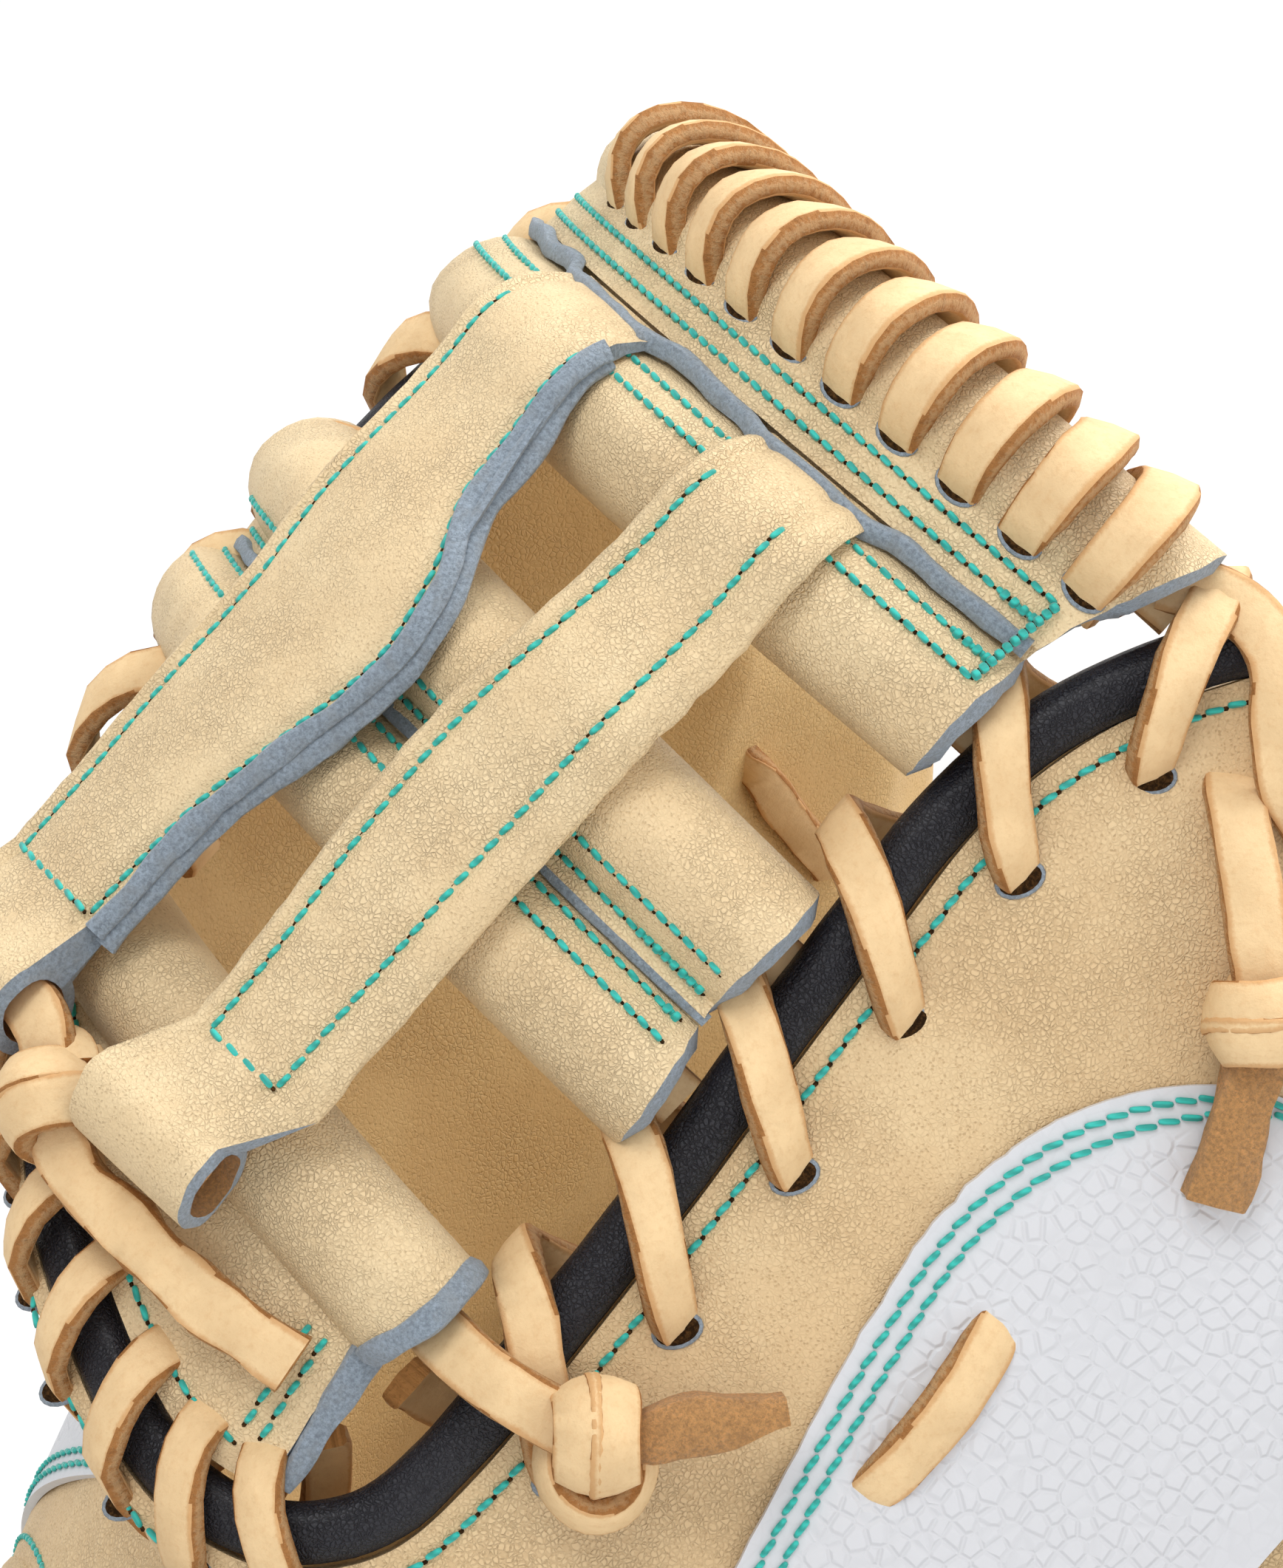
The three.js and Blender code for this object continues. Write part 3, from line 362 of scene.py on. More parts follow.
class Finish:
    """A material, built node by node."""

    def __init__(self, name):
        self.material = bpy.data.materials.new(name)
        self.material.use_nodes = True
        self.tree = self.material.node_tree
        self.tree.nodes.clear()

    def node(self, kind, settings=None, values=None, out=0):
        """A node with its settings, then the values or links of its sockets. Gives one of its outputs."""
        made = self.tree.nodes.new(kind)
        for key, value in (settings or {}).items():
            setattr(made, key, value)
        for key, value in (values or {}).items():
            if isinstance(value, Wire):
                self.tree.links.new(value.socket, made.inputs[key])
            elif isinstance(value, tuple) and made.inputs[key].type == "RGBA":
                made.inputs[key].default_value = (*value[:3], 1)
            else:
                made.inputs[key].default_value = value
        return Wire(self, made.outputs[out])

    def place(self):
        """Place on the mitt, in millimetres."""
        spot = self.node("ShaderNodeTexCoord", out="Object")
        return self.node("ShaderNodeVectorMath", {"operation": "SCALE"}, {0: spot, "Scale": 1000.0})

    def pattern(self, along=1000.0, across=1000.0):
        """Place on the piece's own pattern, in millimetres unless stretched."""
        spot = self.node("ShaderNodeUVMap", {"uv_map": "Pattern"})
        return self.node(
            "ShaderNodeVectorMath", {"operation": "MULTIPLY"}, {0: spot, 1: (along, across, 1.0)})

    def noise(self, spot, size, detail=3.0, rough=0.55):
        """A cloudy pattern, 0 to 1, of spots about as large as size."""
        return self.node("ShaderNodeTexNoise", None, {
            "Vector": spot, "Scale": 1 / size, "Detail": detail, "Roughness": rough})

    def cells(self, spot, size, feature="F1", uneven=1.0):
        """Distance from the middle of the nearest cell, or from its edge."""
        return self.node("ShaderNodeTexVoronoi", {"feature": feature}, {
            "Vector": spot, "Scale": 1 / size, "Randomness": uneven})

    def shift(self, spot, size, amount):
        """The place moved about by noise."""
        wander = self.node("ShaderNodeTexNoise", None, {"Vector": spot, "Scale": 1 / size, "Detail": 1.0}, "Color")
        return self.node("ShaderNodeVectorMath", {"operation": "MULTIPLY_ADD"}, {
            0: wander, 1: (amount, amount, amount), 2: spot})

    def blend(self, share, under, over):
        """One colour laid over another by a share."""
        return self.node("ShaderNodeMix", {"data_type": "RGBA"}, {0: share, 6: under, 7: over}, 2)

    def raise_by(self, height, depth, normal=None):
        """A bump of the given depth in metres."""
        values = {"Height": height, "Distance": depth, "Strength": 1.0}
        if normal:
            values["Normal"] = normal
        return self.node("ShaderNodeBump", None, values)

    def surface(self, **values):
        """The shader, its sockets named with underscores, and the finished material."""
        named = {key.replace("_", " "): value for key, value in values.items()}
        shader = self.node("ShaderNodeBsdfPrincipled", None, named)
        self.tree.links.new(shader.socket, self.tree.nodes.new("ShaderNodeOutputMaterial").inputs["Surface"])
        return self.material


def tone(base, factor, warm=0.0):
    """A lighter or darker tone of a colour, warmer if asked."""
    red, green, blue = base
    return (min(red * factor * (1 + warm), 1), min(green * factor, 1), min(blue * factor * (1 - warm), 1))


def pored(name, base, pebble=1.1, depth=0.00012, swell=0.00028, rough=0.5, mottle=0.5, coat=0.0):
    """Leather with a fine net of creases, small pores between them, and a soft mottle."""
    f = Finish(name)
    spot = f.place()
    worked = f.noise(spot, 15.0, 2.0).between(0.3, 0.66)
    net = 1 - f.cells(f.shift(spot, 1.3, 0.9), 0.62 * pebble, "DISTANCE_TO_EDGE").between(0.0, 0.2)
    pores = 1 - f.cells(f.shift(spot, 1.5, 0.5), 0.55 * pebble).between(0.12, 0.4)
    grain = f.noise(f.shift(spot, 2.0, 1.4), 0.8 * pebble, 3.0, 0.6)
    wear = f.noise(spot, 18.0, 5.0, 0.62)
    fine = f.noise(spot, 3.0, 4.0, 0.6)
    shade = f.blend(wear.between(0.35, 0.68), tone(base, 0.93, 0.03), tone(base, 1.05, -0.01))
    shade = f.blend(fine.between(0.3, 0.75) * (0.2 * mottle), shade, tone(base, 0.76, 0.08))
    shade = f.blend(net * (0.2 + 0.3 * worked) * mottle, shade, tone(base, 0.52, 0.15))
    shade = f.blend(pores * (0.65 - 0.25 * worked) * mottle, shade, tone(base, 0.5, 0.2))
    bump = f.raise_by(grain * 0.8 - pores * 0.5 - net * (0.3 + 0.7 * worked), depth)
    bump = f.raise_by(wear, swell, bump)
    return f.surface(
        Base_Color=shade, Roughness=(rough + 0.14 * fine) + pores * 0.1, Normal=bump, Coat_Weight=coat,
        Coat_Roughness=0.35, Specular_IOR_Level=0.36)


def felted(name, base):
    """The fuzzy raw edge of thick leather."""
    f = Finish(name)
    spot = f.place()
    fibres = f.noise(spot, 0.45, 5.0, 0.75)
    tufts = f.noise(spot, 2.2, 3.0)
    shade = f.blend(fibres.between(0.32, 0.7), tone(base, 0.62), tone(base, 1.22))
    shade = f.blend(tufts.between(0.45, 0.75) * 0.5, shade, tone(base, 0.8, 0.12))
    return f.surface(
        Base_Color=shade, Roughness=0.95, Normal=f.raise_by(fibres + tufts, 0.0004), Sheen_Weight=0.4,
        Specular_IOR_Level=0.15)


def rawhide(name, base, streak, core, bumps=0.0002, fibrous=0.5):
    """Lace: drawn out along its length, with fibres and nicks. Its edges are burnished, and its core is pale."""
    f = Finish(name)
    spot = f.place()
    off_middle = f.node("ShaderNodeMath", {"operation": "ABSOLUTE"}, {
        0: f.node("ShaderNodeSeparateXYZ", None, {0: f.pattern(1.0, 1.0)}, "Y")})
    fibres = f.noise(f.pattern(1000.0, 6.0), 1.1, 5.0, 0.7)
    nicks = f.noise(spot, 0.6, 4.0, 0.7)
    wear = f.noise(spot, 7.0, 4.0)
    shade = f.blend(wear.between(0.3, 0.7), tone(base, 0.9, 0.03), tone(base, 1.07))
    shade = f.blend(fibres.between(0.45, 0.72) * fibrous, shade, streak)
    shade = f.blend(nicks.between(0.55, 0.75) * (0.6 * fibrous), shade, tone(streak, 0.6))
    shade = f.blend((off_middle + 0.12 * (nicks - 0.5)).between(0.34, 0.44) * 0.6, shade, streak)
    shade = f.blend((off_middle + 0.08 * (nicks - 0.5)).between(0.475, 0.5) * 0.4, shade, core)
    return f.surface(
        Base_Color=shade, Roughness=0.62 + 0.2 * nicks, Normal=f.raise_by(fibres + nicks * 0.7, bumps),
        Specular_IOR_Level=0.3)


def suede(name, base):
    """The rough flesh side of leather."""
    f = Finish(name)
    spot = f.place()
    nap = f.noise(spot, 0.5, 6.0, 0.8)
    clumps = f.noise(spot, 2.0, 3.0)
    shade = f.blend(nap.between(0.3, 0.7), tone(base, 0.85, 0.05), tone(base, 1.9))
    shade = f.blend(clumps.between(0.4, 0.7) * 0.3, shade, tone(base, 0.85))
    return f.surface(
        Base_Color=shade, Roughness=0.95, Normal=f.raise_by(nap + clumps, 0.0006), Sheen_Weight=0.25,
        Specular_IOR_Level=0.12)


def twisted_thread(name, base):
    """Thread, with its strands' slanted twist, its colour banded from painted shade between the strands to painted
    highlight on them.
    """
    f = Finish(name)
    twist = f.node("ShaderNodeTexWave", {"bands_direction": "DIAGONAL"}, {
        "Vector": f.place(), "Scale": 0.5, "Distortion": 0.4}, "Fac")
    # Painted shade and highlight: darker and lighter bands of colour along the twist.
    shade = f.blend(twist, tone(base, 0.7), tone(base, 1.12))
    return f.surface(
        Base_Color=shade, Roughness=0.55, Normal=f.raise_by(twist, 0.0001), Sheen_Weight=0.3,
        Specular_IOR_Level=0.4)


def scaled(name, base, width):
    """White leather embossed with small uneven scales, smooth towards its edge."""
    f = Finish(name)
    spot = f.pattern(1.0 / width, 1.0 / width)
    edge = f.cells(spot, 1.0, "DISTANCE_TO_EDGE", 0.58)
    inner = f.node("ShaderNodeAttribute", {"attribute_name": "embossed"}, out="Fac")
    dome = edge.between(0.0, 0.2) * inner
    fine = f.noise(f.place(), 0.45, 3.0)
    wear = f.noise(f.place(), 14.0, 4.0)
    # Painted shade: the grooves between the scales are coloured a little darker.
    shade = f.blend(edge.between(0.0, 0.1), tone(base, 0.97), tone(base, 1.0))
    shade = f.blend(wear.between(0.5, 0.8) * 0.25, shade, tone(base, 0.94, 0.01))
    bump = f.raise_by(dome + fine * 0.1, 0.00016)
    return f.surface(Base_Color=shade, Roughness=0.42 + 0.12 * fine, Normal=bump, Specular_IOR_Level=0.42)


def painted_hole_shadow(name, base):
    """Painted shadow: near-black tones that stand in for the shade inside a punched hole."""
    f = Finish(name)
    fuzz = f.noise(f.place(), 0.5, 4.0, 0.7)
    shade = f.blend(fuzz.between(0.4, 0.75), tone(base, 0.04), tone(base, 0.2))
    return f.surface(Base_Color=shade, Roughness=0.95, Normal=f.raise_by(fuzz, 0.0003), Specular_IOR_Level=0.1)


def plain_floor(name, base):
    """The studio's floor, hardly marked."""
    f = Finish(name)
    faint = f.noise(f.place(), 900.0, 2.0)
    return f.surface(
        Base_Color=f.blend(faint * 0.2, base, tone(base, 0.97)), Roughness=0.9, Specular_IOR_Level=0.1)


def finishes():
    """All the mitt's materials, made once and then found by name."""
    colours = bpy.context.scene.mitt_colours
    c = {key: tuple(getattr(colours, key)) for key in MittColours.__annotations__}
    pebble = sizes().pebble * 1000
    makers = {
        # Painted shade: the back gets a darker, warmer tone of the web's leather, standing in for the shell's less
        # lit lower side.
        "back_leather": lambda n: pored(n, tone(c["leather"], 0.9, 0.05), pebble * 0.85, 0.0001, mottle=0.7),
        "web_leather": lambda n: pored(n, c["leather"], pebble * 0.8, swell=0.00026, rough=0.48),
        "palm_hide": lambda n: pored(n, c["palm"], pebble, 0.00007, 0.0003, mottle=0.4),
        "raw_edge": lambda n: felted(n, c["felt"]),
        "black_binding": lambda n: pored(n, c["binding"], 0.9, 0.0002, 0.00012, 0.4, 0.6, 0.15),
        "lace_face": lambda n: rawhide(n, c["lace"], tone(c["lace_edge"], 1.1), c["lace_edge"], 0.00012, 0.2),
        "flesh_side": lambda n: suede(n, tone(c["lace_edge"], 1.05, -0.08)),
        "lace_edge": lambda n: rawhide(
            n, tone(c["lace_edge"], 1.25), tone(c["lace_edge"], 0.5, 0.15), tone(c["lace"], 0.9), 0.0006, 0.8),
        "sewing_thread": lambda n: twisted_thread(n, c["thread"]),
        "white_scales": lambda n: scaled(n, c["panel"], sizes().scale_width),
        # Painted shadow for the holes, in near-black tones of the lace's edge colour.
        "lace_hole": lambda n: painted_hole_shadow(n, c["lace_edge"]),
        "floor": lambda n: plain_floor(n, c["floor"]),
    }
    return {name: bpy.data.materials.get(name) or make(name) for name, make in makers.items()}


# Making pieces

def axes_at(centre, along, side, up):
    """The matrix that turns the three axes these ways, and puts the origin at a place."""
    return Matrix([(along[i], side[i], up[i], centre[i]) for i in range(3)] + [(0, 0, 0, 1)])


def sheet_of(segments, place, pattern=None, wraps=False):
    """A grid of faces bent into shape: place(s, t) gives each corner's place and pattern(s, t) its place on
    the flat pattern, in metres. With wraps, t = 1 meets t = 0."""
    bm = bmesh.new()
    bmesh.ops.create_grid(bm, x_segments=segments[0], y_segments=segments[1], size=0.5)
    shares = {v: (min(max(v.co.x + 0.5, 0), 1), min(max(v.co.y + 0.5, 0), 1)) for v in bm.verts}
    layer = bm.loops.layers.uv.new("Pattern")
    for face in bm.faces:
        for loop in face.loops:
            loop[layer].uv = pattern(*shares[loop.vert]) if pattern else shares[loop.vert]
    for vert, (s, t) in shares.items():
        vert.co = place(s, t)
    if wraps:
        bmesh.ops.remove_doubles(bm, verts=bm.verts, dist=1e-6)
    return bm


def finished(faces, finish):
    """Gives faces one of their piece's finishes, by its place in the piece's list."""
    for face in faces:
        face.material_index = finish


def closed_ends(bm, cap_finish=0):
    """Fills the open ends of a tube or a rolled sheet."""
    before = set(bm.faces)
    bmesh.ops.holes_fill(bm, edges=[e for e in bm.edges if e.is_boundary], sides=0)
    caps = [face for face in bm.faces if face not in before]
    finished(caps, cap_finish)
    bmesh.ops.triangulate(bm, faces=caps, ngon_method="EAR_CLIP")
    return bm


def mesh_of(name, bm):
    mesh = bpy.data.meshes.new(name)
    bm.to_mesh(mesh)
    bm.free()
    return mesh


def linked(thing):
    bpy.context.scene.collection.objects.link(thing)
    return thing


def piece(name, bm, finish_names, stands_for=(), sharp=50, closed=True):
    """Makes the mesh an object of the mitt, in place of the CAD nodes that it stands for."""
    if closed:
        bmesh.ops.recalc_face_normals(bm, faces=bm.faces)
    mesh = mesh_of(name, bm)
    made = finishes()
    for finish in finish_names:
        mesh.materials.append(made[finish])
    mesh.shade_smooth()
    mesh.set_sharp_from_angle(angle=math.radians(sharp))
    thing = linked(bpy.data.objects.new(name, mesh))
    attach(thing, "root")
    if stands_for:
        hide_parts(*stands_for)
    return thing


def joined(parts):
    """One bmesh from several."""
    whole = bmesh.new()
    for part in parts:
        mesh = mesh_of("part", part)
        whole.from_mesh(mesh)
        bpy.data.meshes.remove(mesh)
    return whole


def frame_at(path, i):
    """Along, side and up directions of a path at its point i. Each point of it is (a, y, h, core), and may go
    on with a share of the width and with the way, in (a, y, h), that the lace lies across."""
    places = [on_mitt(*p[:3]) for p in path[max(i - 1, 0):i + 2]]
    along = (places[-1] - places[0]).normalized()
    a, y, h, core, *more = path[i]
    here = on_mitt(a, y, h)
    out = here - on_mitt(*core) if core else on_mitt(a, y, h + 1) - here
    side = along.cross(out)
    if len(more) > 1:
        across = on_mitt(a + more[1][0], y + more[1][1], h + more[1][2]) - here
        across -= along * across.dot(along)
        side = across if across.dot(side) > 0 else -across
    side.normalize()
    return along, side, side.cross(along).normalized()


LACE_SECTION = [  # shares of the width and of the thickness
    (0.42, 0.47), (0.0, 0.56), (-0.42, 0.47), (-0.47, 0.38), (-0.5, 0.0), (-0.48, -0.38), (-0.42, -0.48),
    (0.0, -0.52), (0.42, -0.48), (0.48, -0.38), (0.5, 0.0), (0.47, 0.38),
]
FACE, EDGE, ROUGH = 0, 1, 2  # places of a lace's or a rolled leather's finishes in its list
FLAT_ENOUGH = 0.75  # cosine past which a face of a lace belongs to its flat sides


def strap(path, width, thickness, ragged=0.0, seed=1, taper=0.0):
    """A flat lace along a path for frame_at, its edges rounded off and a little ragged."""
    count = len(path) - 1
    centres = [on_mitt(*p[:3]) for p in path]
    frames = [frame_at(path, i) for i in range(len(path))]
    run = run_of(centres)
    sides = len(LACE_SECTION)

    def place(s, t):
        i = round(s * count)
        k = round(t * sides) % sides
        u, v = LACE_SECTION[k]
        _, side, up = frames[i]
        spot = Vector((run[i] * 300, k * 0.7 + seed, seed * 3.1))
        wide = width * (1 + ragged * 1.3 * noise.noise(Vector((run[i] * 160, seed, 5.0 if u > 0 else 9.0)))
                        + ragged * 0.7 * noise.noise(spot))
        end = min(run[i], run[-1] - run[i])
        wide *= (1 - taper * (1 - smoothstep(end, 0, width * 1.2))) * (path[i][4] if len(path[i]) > 4 else 1)
        thick = thickness * (1 + ragged * 0.9 * noise.noise(spot + Vector((4, 7, 1))))
        return centres[i] + side * (u * wide) + up * (v * thick)

    bm = sheet_of((count, sides), place, lambda s, t: (
        run[round(s * count)], LACE_SECTION[round(t * sides) % sides][0]), wraps=True)
    bm.normal_update()
    for face in bm.faces:
        middle = face.calc_center_median()
        i = min(range(len(centres)), key=lambda k: (centres[k] - middle).length_squared)
        if abs(face.normal.dot(frames[i][2])) < FLAT_ENOUGH:
            face.material_index = EDGE
    return closed_ends(bm, EDGE)


def finer(points, per_span):
    """A smooth path through (a, y, h) points, with several steps from each to the next."""
    line = Line(points)
    return [(*line.at(t), None) for t in steps(0, 1, (len(points) - 1) * per_span)]


def rod(rounds, rings, finish):
    """A short rod with rounded ends, from -1 to 1 along x."""
    bm = bmesh.new()
    made = bmesh.ops.create_uvsphere(
        bm, u_segments=rounds, v_segments=rings, radius=1, matrix=Euler((0, math.pi / 2, 0)).to_matrix().to_4x4())
    for vert in made["verts"]:
        on = vert.co.x
        if abs(on) < 0.99:
            fuller = math.sqrt((1 - on ** 6) / (1 - on * on))
            vert.co = (on, vert.co.y * fuller, vert.co.z * fuller)
    finished(bm.faces, finish)
    return mesh_of("rod", bm)


def stitches(line, pitch, thread, lift, length, skew, shadow_marks):
    """Sewn stitches, one after another, along a line of (a, y, h) points, with a flat dark mark between them:
    painted shadow where the pricked hole shows.
    """
    path, last = Line(line), 400
    samples = [path.at(t) for t in steps(0, 1, last)]
    places = [on_mitt(*p) for p in samples]
    run = run_of(places)
    count = max(int(run[-1] / pitch), 1)
    bm = bmesh.new()
    rods = [rod(7, 6, 0), rod(6, 3, 1)]
    k = 0
    for n in range(count):
        goal = (n + 0.5) * run[-1] / count
        while k < last - 1 and run[k + 1] < goal:
            k += 1
        share = (goal - run[k]) / max(run[k + 1] - run[k], TINY)
        p = samples[k].lerp(samples[k + 1], share)
        along = (places[min(k + 2, last)] - places[max(k - 1, 0)]).normalized()
        normal = (on_mitt(p.x, p.y, p.z + 1) - on_mitt(*p)).normalized()
        side = along.cross(normal).normalized()
        along = (along + side * skew).normalized()
        side = along.cross(normal).normalized()
        up = side.cross(along).normalized()
        centre = on_mitt(p.x, p.y, p.z + lift)
        flat = on_mitt(*p)
        half = pitch * length / 2
        # The second shape is a flat dark mark, painted shadow for the pricked hole between two stitches.
        shapes = [(centre, half, thread / 2, thread * 0.42),
                  (flat + along * pitch / 2, pitch * 0.15, thread * 0.32, 0.0001)]
        for mesh, (spot, long, wide, thick) in list(zip(rods, shapes))[:1 + shadow_marks]:
            placed = mesh.copy()
            placed.transform(axes_at(spot, along * long, side * wide, up * thick))
            bm.from_mesh(placed)
            bpy.data.meshes.remove(placed)
    for mesh in rods:
        bpy.data.meshes.remove(mesh)
    return bm


# The padded body

HAND_OPENING = (-8, -66, 42, 38)  # x, y, half width, half length
CROWDING = 1.3  # power by which the grids of the back and the palm crowd towards the web's edge


def opening_share(co):
    """Distance of a place from the middle of the hand opening, 1 on its edge."""
    x, y, half_wide, half_long = HAND_OPENING
    return math.hypot((co.x * 1000 + MIDDLE_X - x) / half_wide, (co.y * 1000 + MIDDLE_Y - y) / half_long)


def soft_height(a, y):
    """How far the back's leather swells off its smooth form."""
    return 0.55 * noise.noise(Vector((a / 17, y / 17, 2))) + 0.3 * noise.noise(Vector((a / 7, y / 7, 6)))


def back_leather():
    """The back: one sheet from the web's edge to the rim, open where the hand goes in."""
    def place(s, t):
        t = t ** CROWDING
        a, y = horseshoe(s, t)
        return on_mitt(a, y, soft_height(a, y) * smoothstep(min(t, 1 - t), 0, 0.12))

    def pattern(s, t):
        return horseshoe(s, t ** CROWDING) / 1000

    bm = sheet_of((210, 56), place, pattern)
    bmesh.ops.delete(bm, geom=[f for f in bm.faces if opening_share(f.calc_center_median()) < 1], context="FACES")
    x, y, _, _ = HAND_OPENING
    for vert in bm.verts:
        share = opening_share(vert.co)
        if vert.is_boundary and 0.75 < share < 1.3:
            across = x + (vert.co.x * 1000 + MIDDLE_X - x) / share
            along = y + (vert.co.y * 1000 + MIDDLE_Y - y) / share
            vert.co = on_mitt(CROWN_RADIUS * math.asin(across / CROWN_RADIUS), along)
    bm.normal_update()
    bm.faces.ensure_lookup_table()
    if bm.faces[0].normal.z < 0:
        bmesh.ops.reverse_faces(bm, faces=bm.faces)
    bmesh.ops.solidify(bm, geom=bm.faces[:], thickness=LEATHER / 1000)
    piece("back_leather", bm, ["back_leather"], ["back_shell"], closed=False)


def palm_pad():
    """The padded palm, with the hollow for the hand on its back and the pocket on its front."""
    top, wall = 24, 6  # faces across one side of the pad, and down its wall
    count = 2 * (top + wall)
    tip_reach, tip_depth, heart_depth = 0.03, 0.45, 0.4
    rim_lift, wall_bulge = 5, 0.03

    def way_round(v):
        """From the share of the way round the pad's section: the way out to the rim, and the way down its wall."""
        k = round(v * count) % count
        if k <= top:
            return k / top, 0.0
        if k < top + wall:
            return 1.0, (k - top) / wall
        if k <= 2 * top + wall:
            return 1 - (k - top - wall) / top, 1.0
        return 0.0, 1 - (k - 2 * top - wall) / wall

    def place(s, v):
        t, down = way_round(v)
        t = t ** CROWDING
        over, under = palm_top(s, t), palm_bottom(s, t) + rim_lift * smoothstep(t, 0.93, 1) ** 2
        tip = min(min(s, 1 - s) / tip_reach, 1)
        crown = lerp(tip_depth, 1, math.sqrt(1 - (1 - tip) ** 2))
        heart = lerp(over, under, heart_depth)
        h = lerp(lerp(heart, over, crown), lerp(heart, under, crown), down)
        bulge = wall_bulge * math.sin(math.pi * down) if t == 1 else 0
        return on_mitt(*horseshoe(s, t + bulge, PALM_RIM), h)

    bm = closed_ends(sheet_of((190, count), place, wraps=True))
    bmesh.ops.recalc_face_normals(bm, faces=bm.faces)
    cut = bmesh.ops.bisect_plane(
        bm, geom=bm.verts[:] + bm.edges[:] + bm.faces[:], plane_co=(0, 0, 0.00002), plane_no=(0, 0, -1),
        clear_outer=True)
    bmesh.ops.holes_fill(bm, edges=[g for g in cut["geom_cut"] if isinstance(g, bmesh.types.BMEdge)], sides=0)
    pad = piece("palm_pad", bm, ["palm_hide"], ["palm"])


def binding_roll():
    """The black leather folded over the edge all the way round."""
    def place(s, t):
        u, outset = s % 1, BINDING_RADIUS + GAP
        a, y = off_edge(u, outset)
        middle = on_mitt(a, y, -LEATHER / 2)
        out = (on_mitt(*off_edge(u, outset + 1), -LEATHER / 2) - middle).normalized()
        up = (on_mitt(a, y, 1) - on_mitt(a, y, 0)).normalized()
        angle = 2 * math.pi * t
        cosine, sine = math.cos(angle), math.sin(angle)
        wide = math.copysign(abs(cosine) ** 0.9, cosine) * (BINDING_RADIUS + 0.1)
        high = math.copysign(abs(sine) ** 0.85, sine) * (BINDING_RADIUS - 0.15)
        ruck = 0.12 * noise.noise(Vector((u * 200, cosine, sine)))
        return middle + (out * (wide + ruck * cosine) + up * (high + ruck * sine)) / 1000

    bm = sheet_of((640, 16), place, lambda s, t: (s * 1.3, t * 0.02), wraps=True)
    piece("binding_roll", bm, ["black_binding"], ["binding"])


def round_opening(u, share):
    """A point of the back, a share u of the way round the hand opening; share 1 lies on its edge."""
    x, y, half_wide, half_long = HAND_OPENING
    across = x + half_wide * share * math.cos(2 * math.pi * u)
    return CROWN_RADIUS * math.asin(across / CROWN_RADIUS), y + half_long * share * math.sin(2 * math.pi * u)


def opening_hem():
    """The back's leather turned over at the edge of the hand opening."""
    def place(s, t):
        edge = round_opening(s, 1)
        middle = on_mitt(*edge, -LEATHER / 2)
        out = (on_mitt(*round_opening(s, 1.02), -LEATHER / 2) - middle).normalized()
        up = (on_mitt(*edge, 1) - on_mitt(*edge, 0)).normalized()
        cosine, sine = math.cos(2 * math.pi * t), math.sin(2 * math.pi * t)
        radius = 2.3 + 0.12 * noise.noise(Vector((s * 60, cosine, sine)))
        return middle + (out * (1.1 * cosine) + up * (0.9 * sine)) * (radius / 1000)

    bm = sheet_of((180, 14), place, lambda s, t: (s * 0.26, t * 0.02), wraps=True)
    piece("opening_hem", bm, ["back_leather"])


# The web's bars and posts

# A bar of two tubes: the y and radius of each, the y of its seam, and the heights of the neck and the flap there
TOP_BAR = {"upper": (145, 7.5), "lower": (121.5, 8.8), "seam": 131.5, "neck": 2.5, "flap": 4.9}
MID_SEAM = (85, 78.5)  # y on the fingers' side and on the thumb's
BAR_THUMB_END = rows([(156, 88), (143, 84.5), (131, 82), (112, 82.5), (94, 85), (81, 84.5), (62, 86), (42, 82.5),
                      (34, 81), (24, 76.5), (11, 77)])
BAR_FINGER_END = rows([(156, -22), (140, -20), (112, -19.5), (95, -18), (75, -12), (62, -6)])
CROTCH = rows([(84, 15.5), (75, 10.5), (67, 9.5), (59, 11.5), (50, 15.5), (42, 20), (36, 23.5), (28, 29.5),
               (18, 35)])
BASE_TUBE_RADIUS, FLAP_HALF, BASE_LEFT, BASE_RIGHT = 7.6, 1.7, 18.5, 77


def top_bend(a):
    """How far the top bar bows up along y."""
    return 5.5 * ((82 - a) / 100) ** 2 - 1.2


def mid_bar(share):
    """The middle bar's section, a share of the way from the fingers to the thumb."""
    seam = lerp(*MID_SEAM, share)
    return {"upper": (seam + lerp(10.6, 9.4, share), 8.4), "lower": (seam - 8.4, 7.8), "seam": seam, "neck": 2.5,
            "flap": 3.4}


def base_tube_y(a):
    """The y of the base bar's tube."""
    return lerp(43.5, 35, (a - 18) / 64)


def arc(centre_y, centre_h, radius, start, end, count):
    """Points (y, h) round part of a circle."""
    return [(centre_y + radius * math.cos(angle), centre_h + radius * math.sin(angle))
            for angle in steps(start, end, count)]


def between(first, last, count):
    """Points from one (y, h) to another, without the ends."""
    return [(lerp(first[0], last[0], i / count), lerp(first[1], last[1], i / count)) for i in range(1, count)]


def bar_outline(bar):
    """The outside of a bar of two tubes, in (y, h)."""
    (upper_y, upper_r), (lower_y, lower_r) = bar["upper"], bar["lower"]
    upper_top, upper_under = math.asin(bar["flap"] / upper_r), math.asin(bar["neck"] / upper_r)
    lower_neck = math.asin(bar["neck"] / lower_r)
    upper = arc(upper_y, 0, upper_r, -math.pi + upper_under, math.pi - upper_top, 26)
    lower = arc(lower_y, 0, lower_r, lower_neck, 2 * math.pi - lower_neck, 26)
    seam = (bar["seam"], bar["flap"])
    under = (bar["seam"] + 0.2, bar["neck"] + 0.1)
    return upper + between(upper[-1], seam, 4) + [seam, under] + between(under, lower[0], 3) + lower + between(
        lower[-1], upper[0], 5)


def top_of(outline, y):
    """Height of the highest crossing of a closed outline at y."""
    heights = [
        lerp(h0, h1, (y - y0) / (y1 - y0))
        for (y0, h0), (y1, h1) in zip(outline, outline[1:] + outline[:1]) if (y0 - y) * (y1 - y) <= 0 and y0 != y1]
    return max(heights)


